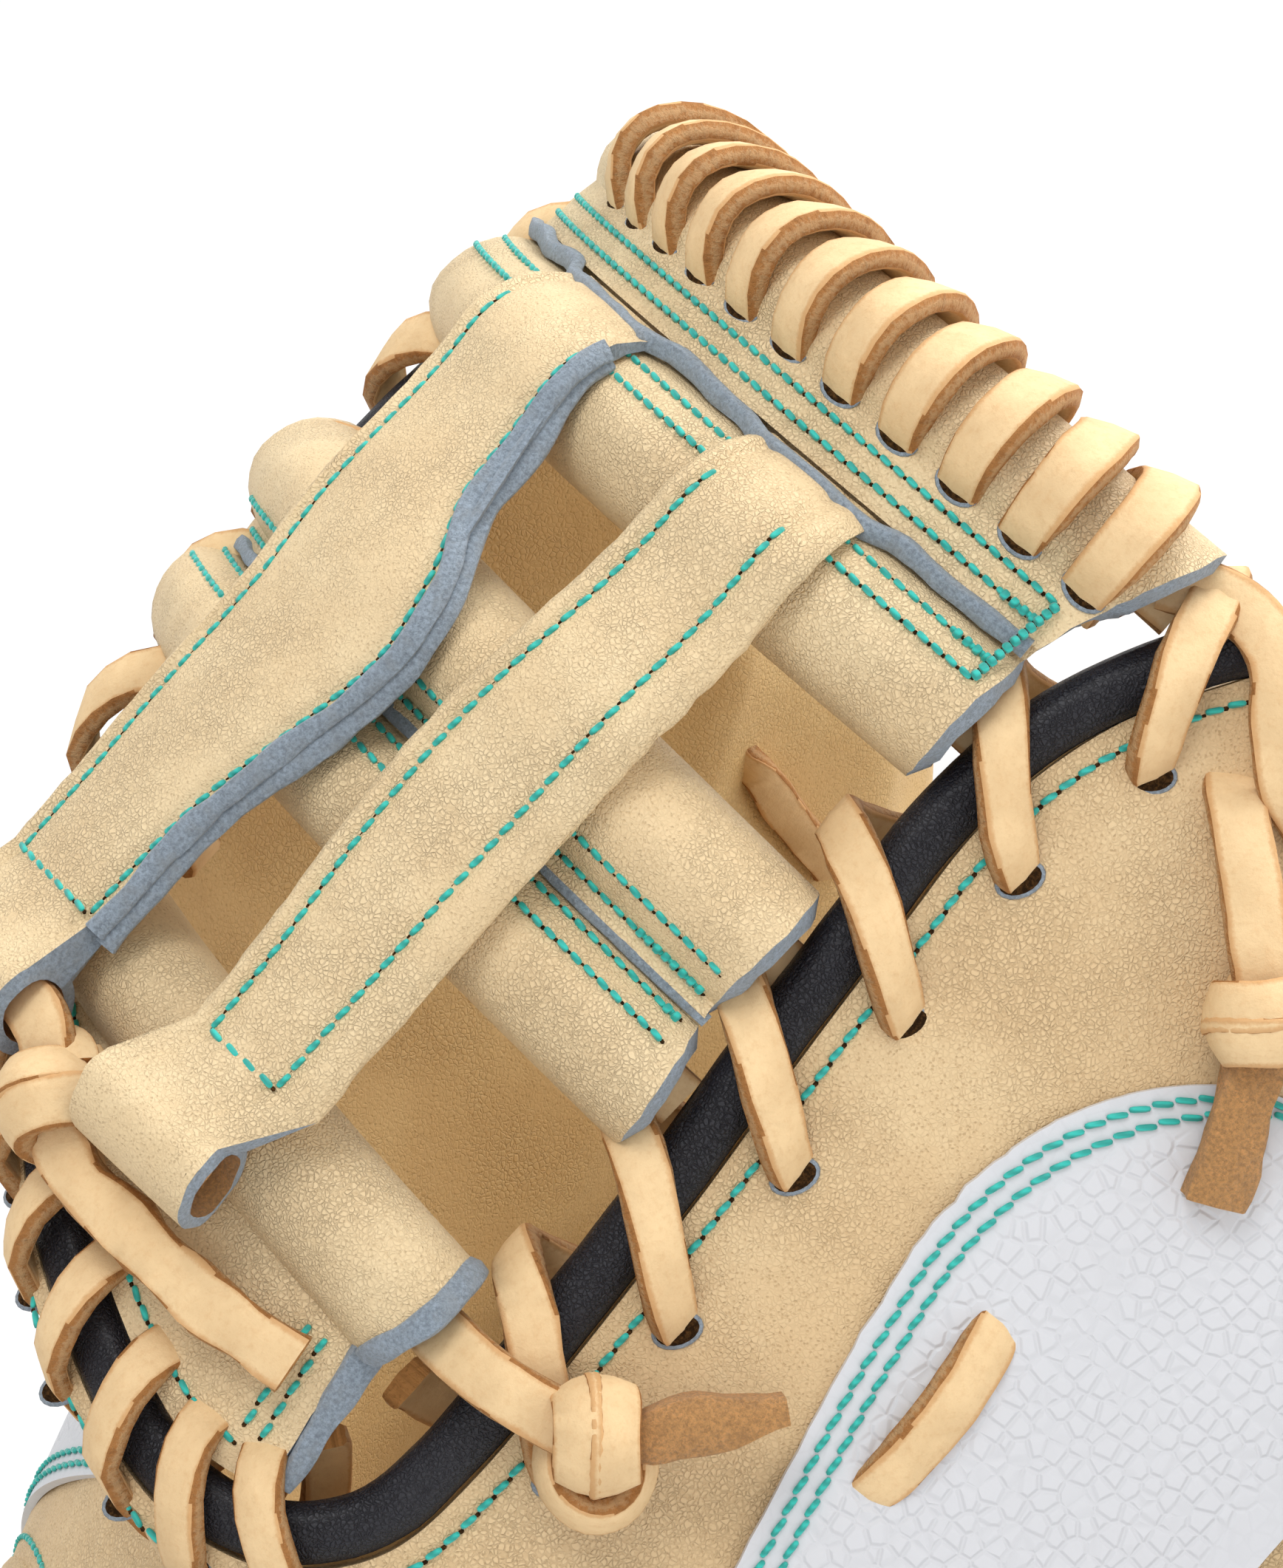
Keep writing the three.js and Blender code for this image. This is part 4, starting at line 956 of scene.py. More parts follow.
def base_outline(share):
    """The outside of the base bar, a tube with a flap."""
    a = lerp(BASE_LEFT, BASE_RIGHT, share)
    y = base_tube_y(a)
    meet = math.asin(FLAP_HALF / BASE_TUBE_RADIUS)
    low = min(CROTCH(a), y - BASE_TUBE_RADIUS - 0.4)
    tube = arc(y, 0, BASE_TUBE_RADIUS, -math.pi + meet, math.pi - meet, 30)
    top, bottom = (low, FLAP_HALF), (low, -FLAP_HALF)
    return tube + between(tube[-1], top, 6) + [top, bottom] + between(bottom, tube[0], 6)


def rolled(outline_at, holes_at, left, right, bend, stations, swell=0.0, short=1.0, long=0.3,
           spread=lambda s: s):
    """Leather rolled across the web: its outside, the insides of its tubes, and the raw ends between them, which
    slope because the outside stops short of the ends and the insides run past them."""
    def skin(loop_at, over):
        count = len(loop_at(0))

        def place(s, t):
            s = spread(s)
            y, h = loop_at(s)[round(t * count) % count]
            reach = over + 0.35 * noise.noise(Vector((y / 2.5, h / 2.5, s * 40)))
            a = lerp(left(y) - reach, right(y) + reach, s)
            ripple = swell * noise.noise(Vector((a / 9, y / 6, h / 6)))
            return on_mitt(a, y + bend(a, y), h * (1 + ripple / 8))

        return sheet_of((stations, count), place, lambda s, t: (s * 0.1, t * 0.09), wraps=True)

    parts = [skin(outline_at, -short)]
    for k in range(len(holes_at(0))):
        parts.append(skin(lambda s, k=k: holes_at(s)[k], long))
        finished(parts[-1].faces, ROUGH)
    bm = joined(parts)
    middle = sum((v.co.x for v in bm.verts), 0) / len(bm.verts)
    before = set(bm.faces)
    for side in (-1, 1):
        edges = [e for e in bm.edges if e.is_boundary and (e.verts[0].co.x - middle) * side > 0]
        bmesh.ops.triangle_fill(bm, use_beauty=True, use_dissolve=False, edges=edges)
    finished([face for face in bm.faces if face not in before], EDGE)
    return bm


def tube_hole(y, r, count=22):
    """The inside of a tube, wound the other way."""
    return arc(y, 0, r - LEATHER, 0, -2 * math.pi * (1 - 1 / count), count - 1)


def rolled_piece(name, bm, node):
    """A piece of the web, of leather with raw edges and a rough inside."""
    piece(name, bm, ["web_leather", "raw_edge", "flesh_side"], [node])


def base_thumb_end(y):
    return max(BAR_THUMB_END(y), BASE_RIGHT)


def web_bars():
    """The three bars of the web."""
    for name, node, bar_at, bend in (
            ("upper_web_bar", "top_bar", lambda s: TOP_BAR, lambda a, y: top_bend(a)),
            ("middle_web_bar", "mid_bar", mid_bar, lambda a, y: 0)):
        rolled_piece(name, rolled(
            lambda s, bar_at=bar_at: bar_outline(bar_at(s)),
            lambda s, bar_at=bar_at: [tube_hole(*bar_at(s)[tube]) for tube in ("upper", "lower")],
            BAR_FINGER_END, BAR_THUMB_END, bend, 72, 0.5), node)
    rolled_piece("lower_web_bar", rolled(
        base_outline, lambda s: [tube_hole(base_tube_y(lerp(BASE_LEFT, BASE_RIGHT, s)), BASE_TUBE_RADIUS)],
        lambda y: BASE_LEFT, base_thumb_end, lambda a, y: 0, 60, 0.4), "base_bar")


POST_END_Y, POST_END_H, POST_END_R, POST_WALL = 32.6, 12.2, 5.5, 1.6  # the roll at a post's lower end
POST_TOP_Y, POST_NECK_Y, SEWN_FROM_Y, SEWN_TO_Y = 131.1, 44.6, 124, 44.5
POST_NOTCH = 4.5  # how far the thumb post's roll stops short of its edge
POST_LINE = [  # y, underside, thickness
    (POST_TOP_Y, 3, 1.9), (127.4, 7.6, 2.6), (121.5, 9.3, 3.6), (112, 8.6, 3.6), (95, 9.5, 3.6), (83, 8.9, 3.6),
    (69, 9, 3.6), (56, 9.1, 3.6), (45, 9.8, 3.6),
]
POSTS = {  # left and right edge, in (y, a)
    "post_finger": (
        rows([(134, 8), (116, 10), (86, 14), (63, 14), (28, 13)]),
        rows([(131, 27), (106, 31), (96, 36), (86, 38), (74, 36), (60, 32.5), (44, 31), (28, 30)])),
    "post_thumb": (
        rows([(130, 45), (103, 46), (82, 45), (44, 46), (38, 43)]),
        rows([(130, 61), (106, 63), (69, 63), (43, 62), (28, 62)])),
}
UNDER_POSTS = ((8, 27), (45, 61))  # where the posts cross the top bar's seam, in a
POST_TOP = rows([(y, under + thick) for y, under, thick in POST_LINE])
POST_UNDER = rows([(y, under) for y, under, _ in POST_LINE])


def post_bend(a, y):
    """A post follows the top bar's bow at its upper end."""
    return top_bend(a) * smoothstep(y, 100, 118)


STITCHED = {"post_finger": (2.6, 1.3), "post_thumb": (2.8, 4.5)}  # stitching's distance from each edge
FOLDED = {"post_finger": (True, False), "post_thumb": (True, True)}  # whether an edge is folded or raw


def post_section(name, y, share):
    """Top and underside of a post: folded round at its edges, and drawn in along its stitching."""
    crown, groove, groove_width, ridge = 0.7, 0.7, 0.8, 0.55
    left, right = POSTS[name]
    wide = right(y) - left(y)
    top, under = POST_TOP(y) + crown * math.sin(math.pi * share) - crown / 2, POST_UNDER(y)
    middle = (POST_TOP(y) + under) / 2
    above_neck = smoothstep(y, 41, 44)
    for distance, inset, folded in zip((share * wide, (1 - share) * wide), STITCHED[name], FOLDED[name]):
        top -= groove * math.exp(-((distance - inset) / groove_width) ** 2) * above_neck
        if folded:
            top += ridge * math.exp(-((distance - 0.45 * inset) / (0.3 * inset)) ** 2) * above_neck
        roll = 2 + 0.45 * (inset - 2.6)
        if folded and distance < roll:
            fold = max(math.sqrt(1 - (1 - distance / roll) ** 2), 0.12)
            top, under = lerp(middle, top, fold), lerp(middle, under, fold)
    return top, under


def post_outline(name):
    """The outside of a post, cut along y a share of the way from its left edge to its right."""
    def at(share):
        down = steps(POST_TOP_Y, POST_NECK_Y, 44)
        sections = [post_section(name, y, share) for y in down]
        top, under = ([(y, section[side]) for y, section in zip(down, sections)] for side in (0, 1))
        end = arc(POST_END_Y, POST_END_H, POST_END_R, math.radians(50), math.radians(335), 26)
        return top + end + under[::-1]

    return at


def post_hole(share):
    """The inside of a post's roll."""
    return [arc(POST_END_Y, POST_END_H, POST_END_R - POST_WALL, 0, -2 * math.pi * 21 / 22, 21)]


def web_posts():
    """Two straps down the web, of doubled leather, each rolled round a lace at its lower end."""
    for name, (left, strap_right) in POSTS.items():
        notch = POST_NOTCH if name == "post_thumb" else 0

        def right(y, strap_right=strap_right, notch=notch):
            return strap_right(y) - notch * (1 - smoothstep(y, 38.5, 40.5))

        bm = rolled(post_outline(name), post_hole, left, right, post_bend, 34, short=0.0, long=0.4,
                    spread=lambda s: 0.35 * s + 0.65 * (1 - math.cos(math.pi * s)) / 2)
        for face in bm.faces:
            middle = face.calc_center_median() * 1000 + Vector((MIDDLE_X, MIDDLE_Y, 0))
            side = middle.x > (left(middle.y) + right(middle.y)) / 2
            if face.material_index == EDGE and middle.y > 41 and FOLDED[name][side]:
                face.material_index = FACE
        rolled_piece(name + "_strap", bm, name)


def mid_seam(a):
    """The y of the middle bar's seam."""
    return lerp(*MID_SEAM, (a + 14) / 98)


def mid_seam_top(a, y):
    """Height of the middle bar beside its seam."""
    return top_of(bar_outline(mid_bar((a + 15) / 100)), y)


def felt_strip(path, width, thickness, seed):
    """A raw edge of leather that stands proud of a seam. Its path is (a, y, h, core)."""
    wavy = []
    for a, y, h, core, *wide in path:
        drift = Vector((a / 7, y / 7, seed))
        wavy.append((a + 0.5 * noise.noise(drift), y + 0.5 * noise.noise(drift + Vector((5, 5, 5))), h, core,
                     (wide[0] if wide else 1) * (1 + 0.22 * noise.noise(drift * 2))))
    bm = strap(wavy, width / 1000, thickness / 1000, 0.12, seed)
    finished(bm.faces, FACE)
    return bm


def felt_piece(name, strips):
    piece(name, joined(strips), ["raw_edge"])


def raw_edges():
    """The fuzzy edges that show along the finger post, above the posts, and along the bars' seams."""
    _, right = POSTS["post_finger"]
    strips = []
    for out, down, stop in ((0.3, 0.7, 126), (1.3, 2.3, 125)):
        path = []
        for y in steps(stop, 43.4, 70):
            a, bend = right(y) + out * smoothstep(stop - y, 0, 14), post_bend(right(y), y)
            h = POST_TOP(y) - 0.1 - down
            path.append((a, y + bend, h, (a - 3.4, y + bend, h - 4.2)))
        strips.append(felt_strip(path, 2.5, 1.7, 60 + out))
    felt_piece("post_raw_edge", strips)

    path = []
    for a in steps(-19.5, 80.5, 80):
        over = max(smoothstep(a, lo - 3, lo + 1) * (1 - smoothstep(a, hi - 1, hi + 3))
                   for lo, hi in UNDER_POSTS)
        y, h = TOP_BAR["seam"] - 0.9 - 0.9 * over + top_bend(a), TOP_BAR["flap"] + 0.15 + 1.1 * over
        path.append((a, y, h, (a, y + 2.2, h - 4)))
    felt_piece("top_bar_raw_edge", [felt_strip(path, 2.2, 1.5, 71)])

    path = [(a, mid_seam(a), mid_seam_top(a, mid_seam(a)) + 0.15, None) for a in steps(-13, 84, 70)]
    felt_piece("middle_bar_raw_edge", [felt_strip(path, 1.7, 1.2, 75)])

    middle, radius, a = base_tube_y(BASE_RIGHT), BASE_TUBE_RADIUS - 1.0, BASE_RIGHT + 0.2
    top_y, low_y = middle - BASE_TUBE_RADIUS + 1.5, CROTCH(BASE_RIGHT) + 0.5
    path = [(a, lerp(top_y, low_y, share), 0.9, (a - 2, lerp(top_y, low_y, share), -3.5), lerp(1.15, 0.6, share))
            for share in steps(0, 1, 40)]
    ring = []
    for turn in steps(-2.8, 2.8, 60):
        y = middle + radius * math.cos(turn)
        a = base_thumb_end(y) - 1.2
        ring.append((a, y, radius * math.sin(turn), (a, middle, 0)))
    felt_piece("lower_bar_raw_edge", [felt_strip(path, 3.6, 2.2, 79), felt_strip(ring, 3.2, 2.9, 83)])


# Laces

TOP_WIND = {"turns": 11, "start": -10, "end": 80, "offset": 2.1, "half_long": 7, "half_high": 10.1}
# Node, where the run starts and ends, turns, outset, half width, half height, middle height, travel on top, share
# of the lace's width, and how much one edge of the lace stands up
EDGE_WINDS = [
    ("thumb_edge_lace", (95, 146), (94, 27), 6, 2.35, 9.6, 8.9, -4.6, 0.25, 0.92, -0.7),
    ("crotch_lace", (6, 37), (86, 9), 8, 4.2, 8.4, 9.4, -4.4, 0.12, 0.82, 0.7),
    ("finger_edge_lace", (-26, 138), (-3, 49), 5, 4.2, 8.4, 9.4, -4.4, 0.12, 0.9, -0.7),
]


def away_from_hole(angle, hole, reach=0.5):
    """0 where a winding lace goes through its hole, at one angle of each turn in degrees, and 1 away from it."""
    off = (angle - math.radians(hole) + math.pi) % (2 * math.pi) - math.pi
    return 1 - math.exp(-(off / reach) ** 2)


def top_wind_path(per_turn=24):
    """The lace's way round the top bar, for strap. It hardly moves on along the bar at its holes."""
    wind = TOP_WIND
    path = []
    for i in range(wind["turns"] * per_turn + 1):
        turn = i / per_turn
        angle = math.pi + 2 * math.pi * turn
        travel = turn - 0.1 * math.sin(2 * math.pi * (turn + 0.035))
        a = lerp(wind["start"], wind["end"], travel / wind["turns"])
        y = TOP_BAR["upper"][0] + wind["offset"] + top_bend(a)
        reach = wind["half_long"] + 1.6 * max(0, -math.cos(angle))
        away = away_from_hole(angle, 150)
        path.append((
            a, y + reach * math.cos(angle), wind["half_high"] * math.sin(angle), (a, y, 0), lerp(0.82, 1.05, away),
            (1, top_bend(a + 1) - top_bend(a) + 0.4 * away * math.cos(angle), 0.4 * away * math.sin(angle))))
    return path


def edge_wind_path(start, end, turns, outset, half_wide, half_high, middle, on_top, width, lean, per_turn=22):
    """The lace's way round the web's edge between two points near it, for strap, narrow at its holes."""
    start, end = share_near(*start), share_near(*end)
    path = []
    for i in range(turns * per_turn + 1):
        turn = i / per_turn
        angle = -math.pi / 2 + 2 * math.pi * turn
        travel = turn - 0.07 * math.sin(4 * math.pi * turn) + on_top * math.sin(math.pi * turn) ** 2
        u = lerp(start, end, travel / turns)
        a, y = off_edge(u, outset - half_wide * math.sin(angle))
        core, core_next = off_edge(u, outset), off_edge(u + 0.002, outset)
        away = away_from_hole(angle, 76, 0.4)
        path.append((a, y, middle + half_high * math.cos(angle), (*core, middle), width * lerp(0.74, 1, away),
                     (core_next[0] - core[0], core_next[1] - core[1], lean * away * math.cos(angle))))
    return path


def hole_marks():
    """Where each winding lace goes down through the leather, where its next point would lie, and how far beyond
    the first towards the second its hole's middle is."""
    marks = []
    for _, *wind in EDGE_WINDS:
        path = edge_wind_path(*wind)
        marks += [((*p[:2], 0), (*q[:2], 0), 1.1) for p, q in zip(path, path[1:]) if p[2] > 0 >= q[2]]
    outline, (middle, radius) = bar_outline(TOP_BAR), TOP_BAR["upper"]
    path = top_wind_path()
    for p, q in zip(path, path[1:]):
        y, y_next = p[1] - top_bend(p[0]), q[1] - top_bend(q[0])
        if middle - radius < y_next < y < middle and p[2] > top_of(outline, y):
            height = top_of(outline, y_next)
            if q[2] <= height:
                marks.append(((*p[:2], height), (q[0], q[1] - 0.1, height), 2.0))
    return marks


def lace_holes():
    """The punched holes beside the winding laces, each with a fuzzy rim and a dark middle: a near-black disc of
    painted shadow, since the holes are not cut.
    """
    bm = bmesh.new()
    for spot, spot_next, beyond in hole_marks():
        middle = on_mitt(*spot)
        up = (on_mitt(*spot[:2], spot[2] + 1) - middle).normalized()
        inwards = (on_mitt(*spot_next) - middle).normalized()
        across = up.cross(inwards).normalized()
        inwards = across.cross(up)
        # The second disc is painted shadow for the inside of the hole.
        for wide, deep, thick, lift, finish in ((2.85, 1.95, 0.3, 0.0, 0), (2.5, 1.6, 0.35, 0.08, 1)):
            heart = middle + (inwards * beyond + up * lift) / 1000
            made = bmesh.ops.create_uvsphere(
                bm, u_segments=18, v_segments=8, radius=1,
                matrix=axes_at(heart, across * wide / 1000, inwards * deep / 1000, up * thick / 1000))
            finished({face for vert in made["verts"] for face in vert.link_faces}, finish)
    piece("lace_holes", bm, ["raw_edge", "lace_hole"], sharp=180)


def lace(name, path, node=None, thick=1.0, seed=1):
    """A lace of the mitt's own width along a path for strap."""
    ragged = 0.09
    bm = strap(path, sizes().lace_width, sizes().lace_thickness * thick, ragged, seed)
    piece(name, bm, ["lace_face", "lace_edge"], [node] if node else ())


def winding_laces():
    """The laces wound round the top bar and round the edge of the web."""
    lace("top_bar_winding", top_wind_path(), "top_spiral_lace", 1.05, seed=3)
    for k, (node, *wind) in enumerate(EDGE_WINDS):
        lace(node + "_winding", edge_wind_path(*wind), node, seed=5 + k)


TUBE_LACE_PAST = 2.6  # how far the laces in the tubes reach past the bars' ends on the thumb's side


def tube_laces():
    """The laces that run inside the bars' tubes, each lying on the bottom of its tube."""
    for bar, first, last, bend in (
            ("top_bar", TOP_BAR, TOP_BAR, top_bend), ("mid_bar", mid_bar(0), mid_bar(1), lambda a: 0)):
        for side in ("upper", "lower"):
            (first_y, radius), (last_y, _) = first[side], last[side]

            def y_at(a):
                return lerp(first_y, last_y, (a + 15) / 100)

            clear = (radius - LEATHER) * math.cos(math.pi / 8) - 1.6 * GAP
            low = 1 - math.sqrt(clear ** 2 - 3.1 ** 2)
            middle = y_at(30)
            stops = steps(BAR_FINGER_END(middle) + 1, BAR_THUMB_END(middle) + TUBE_LACE_PAST, 30)
            name = f"{bar}_{side}_lace"
            lace(name + "_strip", [(a, y_at(a) + bend(a), low, None) for a in stops], name)


# Which point of its line the knot sits on, the line in (a, y, h), where its last loop lies beside the knot, whether
# its tail lies with the rough side up, and how much the tail narrows towards its ends
KNOTS = {
    "web_knot": (3, [(22, 32.6, 12.2), (32, 32.6, 12.2), (35, 30, 11), (37.5, 26.5, 10.6), (43, 23.2, 9),
                     (52, 22.4, 7.6), (62, 22.2, 6), (72, 23.2, 5)], (-2.4, 1.2), False, 0),
    "thumb_knot": (4, [(66, 37, -2.6), (77, 36, -2), (84, 35.4, 4), (91, 36, 8.6), (101, 38.5, 8.8), (108, 45, 8.6),
                       (115, 53, 8)], (1.8, -2.6), True, 0.5),
    "rim_knot": (3, [(105, 134, -3.4), (107, 131.6, 2.2), (115, 125, 5), (125, 116, 6.4), (131, 107, 5.2),
                     (136, 98, 3.6)], (1.6, 2.4), True, -0.1),
}


def knot_turns(middle, before, after, radius, turns, advance):
    """A lace wound round the knot's heart, moving on a little with each turn."""
    a, y, h = middle
    way_a, way_y = after[0] - before[0], after[1] - before[1]
    length = math.hypot(way_a, way_y)
    way_a, way_y = way_a / length, way_y / length
    path = []
    for share in steps(0, 1, int(22 * turns)):
        angle = 2 * math.pi * turns * share
        on = advance * (share - 0.5)
        out = radius * (1.06 - 0.2 * (2 * share - 1) ** 2)
        aside = out * math.cos(angle)
        path.append((
            a + way_a * on - way_y * aside, y + way_y * on + way_a * aside, h + out * math.sin(angle), (a, y, h)))
    return path


def knot_ring(middle, shift, radius):
    """The knot's last loop, which lies against the leather and overlaps itself a little."""
    a, y, h = middle[0] + shift[0], middle[1] + shift[1], middle[2] - 1.4
    ring = []
    for k in range(30):
        angle = 2 * math.pi * k / 27 + 1
        spot = (a + radius * math.cos(angle), y + radius * math.sin(angle), h + 1.1 * math.sin(angle * 1.5))
        ring.append((*spot, (a, y, h - 3.2)))
    return ring


def knots():
    """The knotted lace ends."""
    thin, width, per_span = sizes().lace_thickness, sizes().lace_width, 7
    for k, (node, (at, line, shift, suede_up, taper)) in enumerate(KNOTS.items()):
        run, heart = finer(line, per_span), per_span * at
        tail = strap(run[heart:], width, thin * (1.5 if suede_up else 1.1), 0.2, 24 + k, taper)
        if suede_up:
            finished(tail.faces, ROUGH)
        turns = knot_turns(line[at], line[at - 1], line[at + 1], radius=4.3, turns=1.6, advance=5.2)
        parts = [
            strap(run[:heart + 2], width, thin, 0.1, 20 + k),
            tail,
            strap(turns, width * 0.9, thin * 1.25, 0.1, 30 + k),
            strap(knot_ring(line[at], shift, 5.0), width * 0.66, thin, 0.1, 50 + k),
        ]
        piece(node + "_lace", joined(parts), ["lace_face", "lace_edge", "flesh_side"], [node])


def single_stitches():
    """One stitch of lace through the white panel, one in the pocket under the fingers, and one that leaves the
    end of the top bar."""
    outside = []
    for share in steps(0, 1, 40):
        arch = math.sin(math.pi * share)
        outside.append((lerp(129, 128.2, share) + 0.8 * arch, lerp(50.6, 74.2, share), 4.8 * arch ** 0.3 - 1.6,
                        (125.5, lerp(50, 75, share), -4), 0.7 + 0.3 * arch ** 0.6, (1, 0.03, -0.4 * arch)))
    strand = finer([(84, 145, -1), (90, 147.5, 1), (97, 146.5, 4), (103, 141, 4.6), (109, 136.5, 3.4),
                    (116, 134.5, 0.5), (120, 134, -3.5)], 6)
    pocket = []
    for share in steps(0, 1, 30):
        a, y = lerp(-74, -112, share), lerp(104, 99.6, share)
        rise = 3.4 * min(smoothstep(share, 0.0, 0.14), 1 - smoothstep(share, 0.86, 1.0)) - 1.8
        pocket.append((a, y, -PAD_PALM - rise, (a, y + 2, -PAD_PALM + 4), 0.62 + 0.2 * math.sin(math.pi * share)))
    lace("panel_stitch_lace", outside, "panel_stitch", seed=41)
    lace("top_bar_end_strand", strand, seed=43)
    lace("pocket_stitch_lace", pocket, seed=44)


# Panels

THUMB_PANEL = (  # its left and its right side
    Line([(139, -60), (131, -28), (125, 8), (122, 37), (118, 62), (116, 79), (117.5, 91), (122, 101), (129, 108.5),
          (137, 112.5)]),
    Line([(152, -66), (159, -30), (164, 5), (167, 34), (168, 56), (168, 72), (168, 84), (166, 95), (162, 106),
          (153, 114)]))
FINGER_PANEL = (2 / 30, 11 / 30), ((3 / 9) ** 1.5, (8 / 9) ** 1.5)  # from and to, in the horseshoe's s and t
SHORT_OF_RIM = 0.6
SMOOTH_MARGIN = 4.6, 6.2  # distances from a panel's edge at which the scales start and are full


def on_thumb_panel(s, t):
    """A point of the thumb's panel, which stops at the edge that the binding covers."""
    left, right = (line.at(s) for line in THUMB_PANEL)
    right.x = min(right.x, across_at(SHELL_RIM_RISE, right.y, 1) - SHORT_OF_RIM)
    return left.lerp(right, t)


def on_finger_panel(s, t):
    along, out = FINGER_PANEL
    return horseshoe(lerp(*along, s), lerp(*out, t))


def panel_height(s, t):
    """Height of a panel's face: thin at its edge and a little swollen inside."""
    swell = smoothstep(min(s, 1 - s) * 5, 0, 0.6) * smoothstep(min(t, 1 - t) * 2, 0, 0.6)
    return GAP + PANEL + 0.7 * swell


def round_panel(point, inset, closed):
    """A line inside a panel's edge, all the way round or open along the side that the rim's binding covers."""
    end = inset / run_of([point(s, 0.5) for s in steps(0, 1, 20)])[-1]
    spots = [(s, inset / (point(s, 1) - point(s, 0)).length) for s in steps(end, 1 - end, 30)]
    first, last = spots[0][1], spots[-1][1]
    low_end = [(end, t) for t in steps(1 - first if closed else 1, first, 10)[:-1]]
    top_end = [(1 - end, t) for t in steps(last, 1 - last, 10)[1:]]
    far_side = [(s, 1 - t) for s, t in spots[-2::-1]] if closed else []
    return [(*point(s, t), panel_height(s, t) + 0.12) for s, t in low_end + spots + top_end + far_side]


def panels():
    """The white embossed panels on the back of the thumb and of the fingers."""
    def on_thumb(s, t):
        torn = 0.45 * (1 - t) * noise.noise(Vector((s * 45, 3, 8)))
        return on_thumb_panel(s, t) + Vector((torn, torn))

    for name, node, point, segments in (
            ("thumb_white_panel", "thumb_panel", on_thumb, (90, 30)),
            ("finger_white_panel", "finger_panel", on_finger_panel, (90, 60))):
        def place(s, t, point=point):
            return on_mitt(*point(s, t), panel_height(s, t))

        bm = sheet_of(segments, place, lambda s, t, point=point: point(s, t) / 1000)
        bm.normal_update()
        middle = point(0.5, 0.5)
        outward = on_mitt(*middle, 1) - on_mitt(*middle)
        nearest = min(bm.faces, key=lambda f: (f.calc_center_median() - on_mitt(*middle)).length)
        if nearest.normal.dot(outward) < 0:
            bmesh.ops.reverse_faces(bm, faces=bm.faces)
        embossed = bm.verts.layers.float.new("embossed")
        rim = [vert.co for vert in bm.verts if vert.is_boundary]
        tree = KDTree(len(rim))
        for i, co in enumerate(rim):
            tree.insert(co, i)
        tree.balance()
        for vert in bm.verts:
            vert[embossed] = smoothstep(tree.find(vert.co)[2] * 1000, *SMOOTH_MARGIN)
        bmesh.ops.solidify(bm, geom=bm.faces[:], thickness=PANEL / 1000)
        piece(name, bm, ["white_scales"], [node], closed=False)


# Sewing

TOP_ROWS, MID_ROWS = (2.2, 5.0, -4.2, -6.9), (1.9, 4.6, -1.9, -4.6)  # distances of the rows from the seams
BINDING_ROW, PANEL_ROWS = -2.6, (2.0, 4.3)  # distances of the rows off the leather's edge, and from the panels'
OPENING_ROW = 1.11  # how far out round the hand opening, as a share of its size
TACK_SPANS = {"top": ((0, 38, 41), (2, 38, 41)), "middle": ((0, 36, 41), (2, 39, 41))}  # row, from, to


def post_edge(name, side):
    """The line of stitching along one edge of a post."""
    left, right = POSTS[name]
    inset = STITCHED[name][side]
    points = []
    for y in steps(SEWN_FROM_Y, SEWN_TO_Y, 30):
        wide = right(y) - left(y)
        share = inset / wide if side == 0 else 1 - inset / wide
        a = lerp(left(y), right(y), share)
        points.append((a, y + post_bend(a, y), post_section(name, y, share)[0]))
    return points


def sewn(name, lines, lift=0.12, scale=1.0, thick=1.0, length=0.84, skew=0.13, shadow_marks=True):
    """A piece of thread sewn along lines of (a, y, h) points."""
    pitch, thread = sizes().stitch_pitch, sizes().thread
    bm = joined([stitches(line, pitch * scale, thread * thick, lift, length, skew, shadow_marks) for line in lines])
    # The second finish is painted shadow for the pricked holes.
    piece(name, bm, ["sewing_thread", "lace_hole"], sharp=180)


def sewing():
    """The rows of thread beside the seams, along the posts' edges, and round the binding and the panels."""
    seam, outline = TOP_BAR["seam"], bar_outline(TOP_BAR)
    top = [[(a, seam + off + top_bend(a), top_of(outline, seam + off)) for a in steps(-17, 79, 40)]
           for off in TOP_ROWS]
    middle = [[(a, mid_seam(a) + off, mid_seam_top(a, mid_seam(a) + off)) for a in steps(-11, 82, 40)]
              for off in MID_ROWS]
    sewn("top_bar_stitching", top, 0.28, 0.76)
    sewn("middle_bar_stitching", middle, 0.28, 0.76)
    tacks = [lines[row][first:last] for lines, key in ((top, "top"), (middle, "middle"))
             for row, first, last in TACK_SPANS[key]]
    tacks.append([Vector(top[1][-1]).lerp(Vector(top[3][-1]), share) for share in steps(0, 1, 4)])
    sewn("bar_tacks", tacks, lift=0.45, scale=0.45, thick=1.6)

    height, above_edge, inset, inner = FLAP_HALF + 0.05, 3, 4.2, 6.4
    tube_y, edge_y = base_tube_y(BASE_RIGHT) - BASE_TUBE_RADIUS - 0.5, CROTCH(BASE_RIGHT) + above_edge
    flap = [[(BASE_RIGHT - off, y, height) for y in steps(tube_y, edge_y, 6)] for off in (inset, inner)]
    flap.append([(a, CROTCH(a) + above_edge, height) for a in steps(24, BASE_RIGHT - inner, 20)])
    sewn("lower_bar_stitching", flap, scale=0.9)

    posts = [post_edge(name, side) for name in POSTS for side in (0, 1)]
    for name, (left, right) in POSTS.items():
        y, (first, last) = SEWN_TO_Y, STITCHED[name]
        posts.append([(a, y, POST_TOP(y) + 0.1) for a in steps(left(y) + first, right(y) - last, 4)])
    sewn("post_stitching", posts, scale=0.92)

    sewn("binding_stitching", [[
        (*off_edge(u, BINDING_ROW), 0.1) for u in steps(share_near(-26, 142), share_near(97, 142), 89)]])
    opening = [round_opening(u, OPENING_ROW) for u in steps(0, 1, 60)]
    sewn("opening_stitching", [[(*spot, soft_height(*spot)) for spot in opening]])
    panel = [round_panel(point, inset, closed) for inset in PANEL_ROWS
             for point, closed in ((on_thumb_panel, False), (on_finger_panel, True))]
    sewn("panel_stitching", panel, length=0.98, skew=0.2, shadow_marks=False)


# The studio

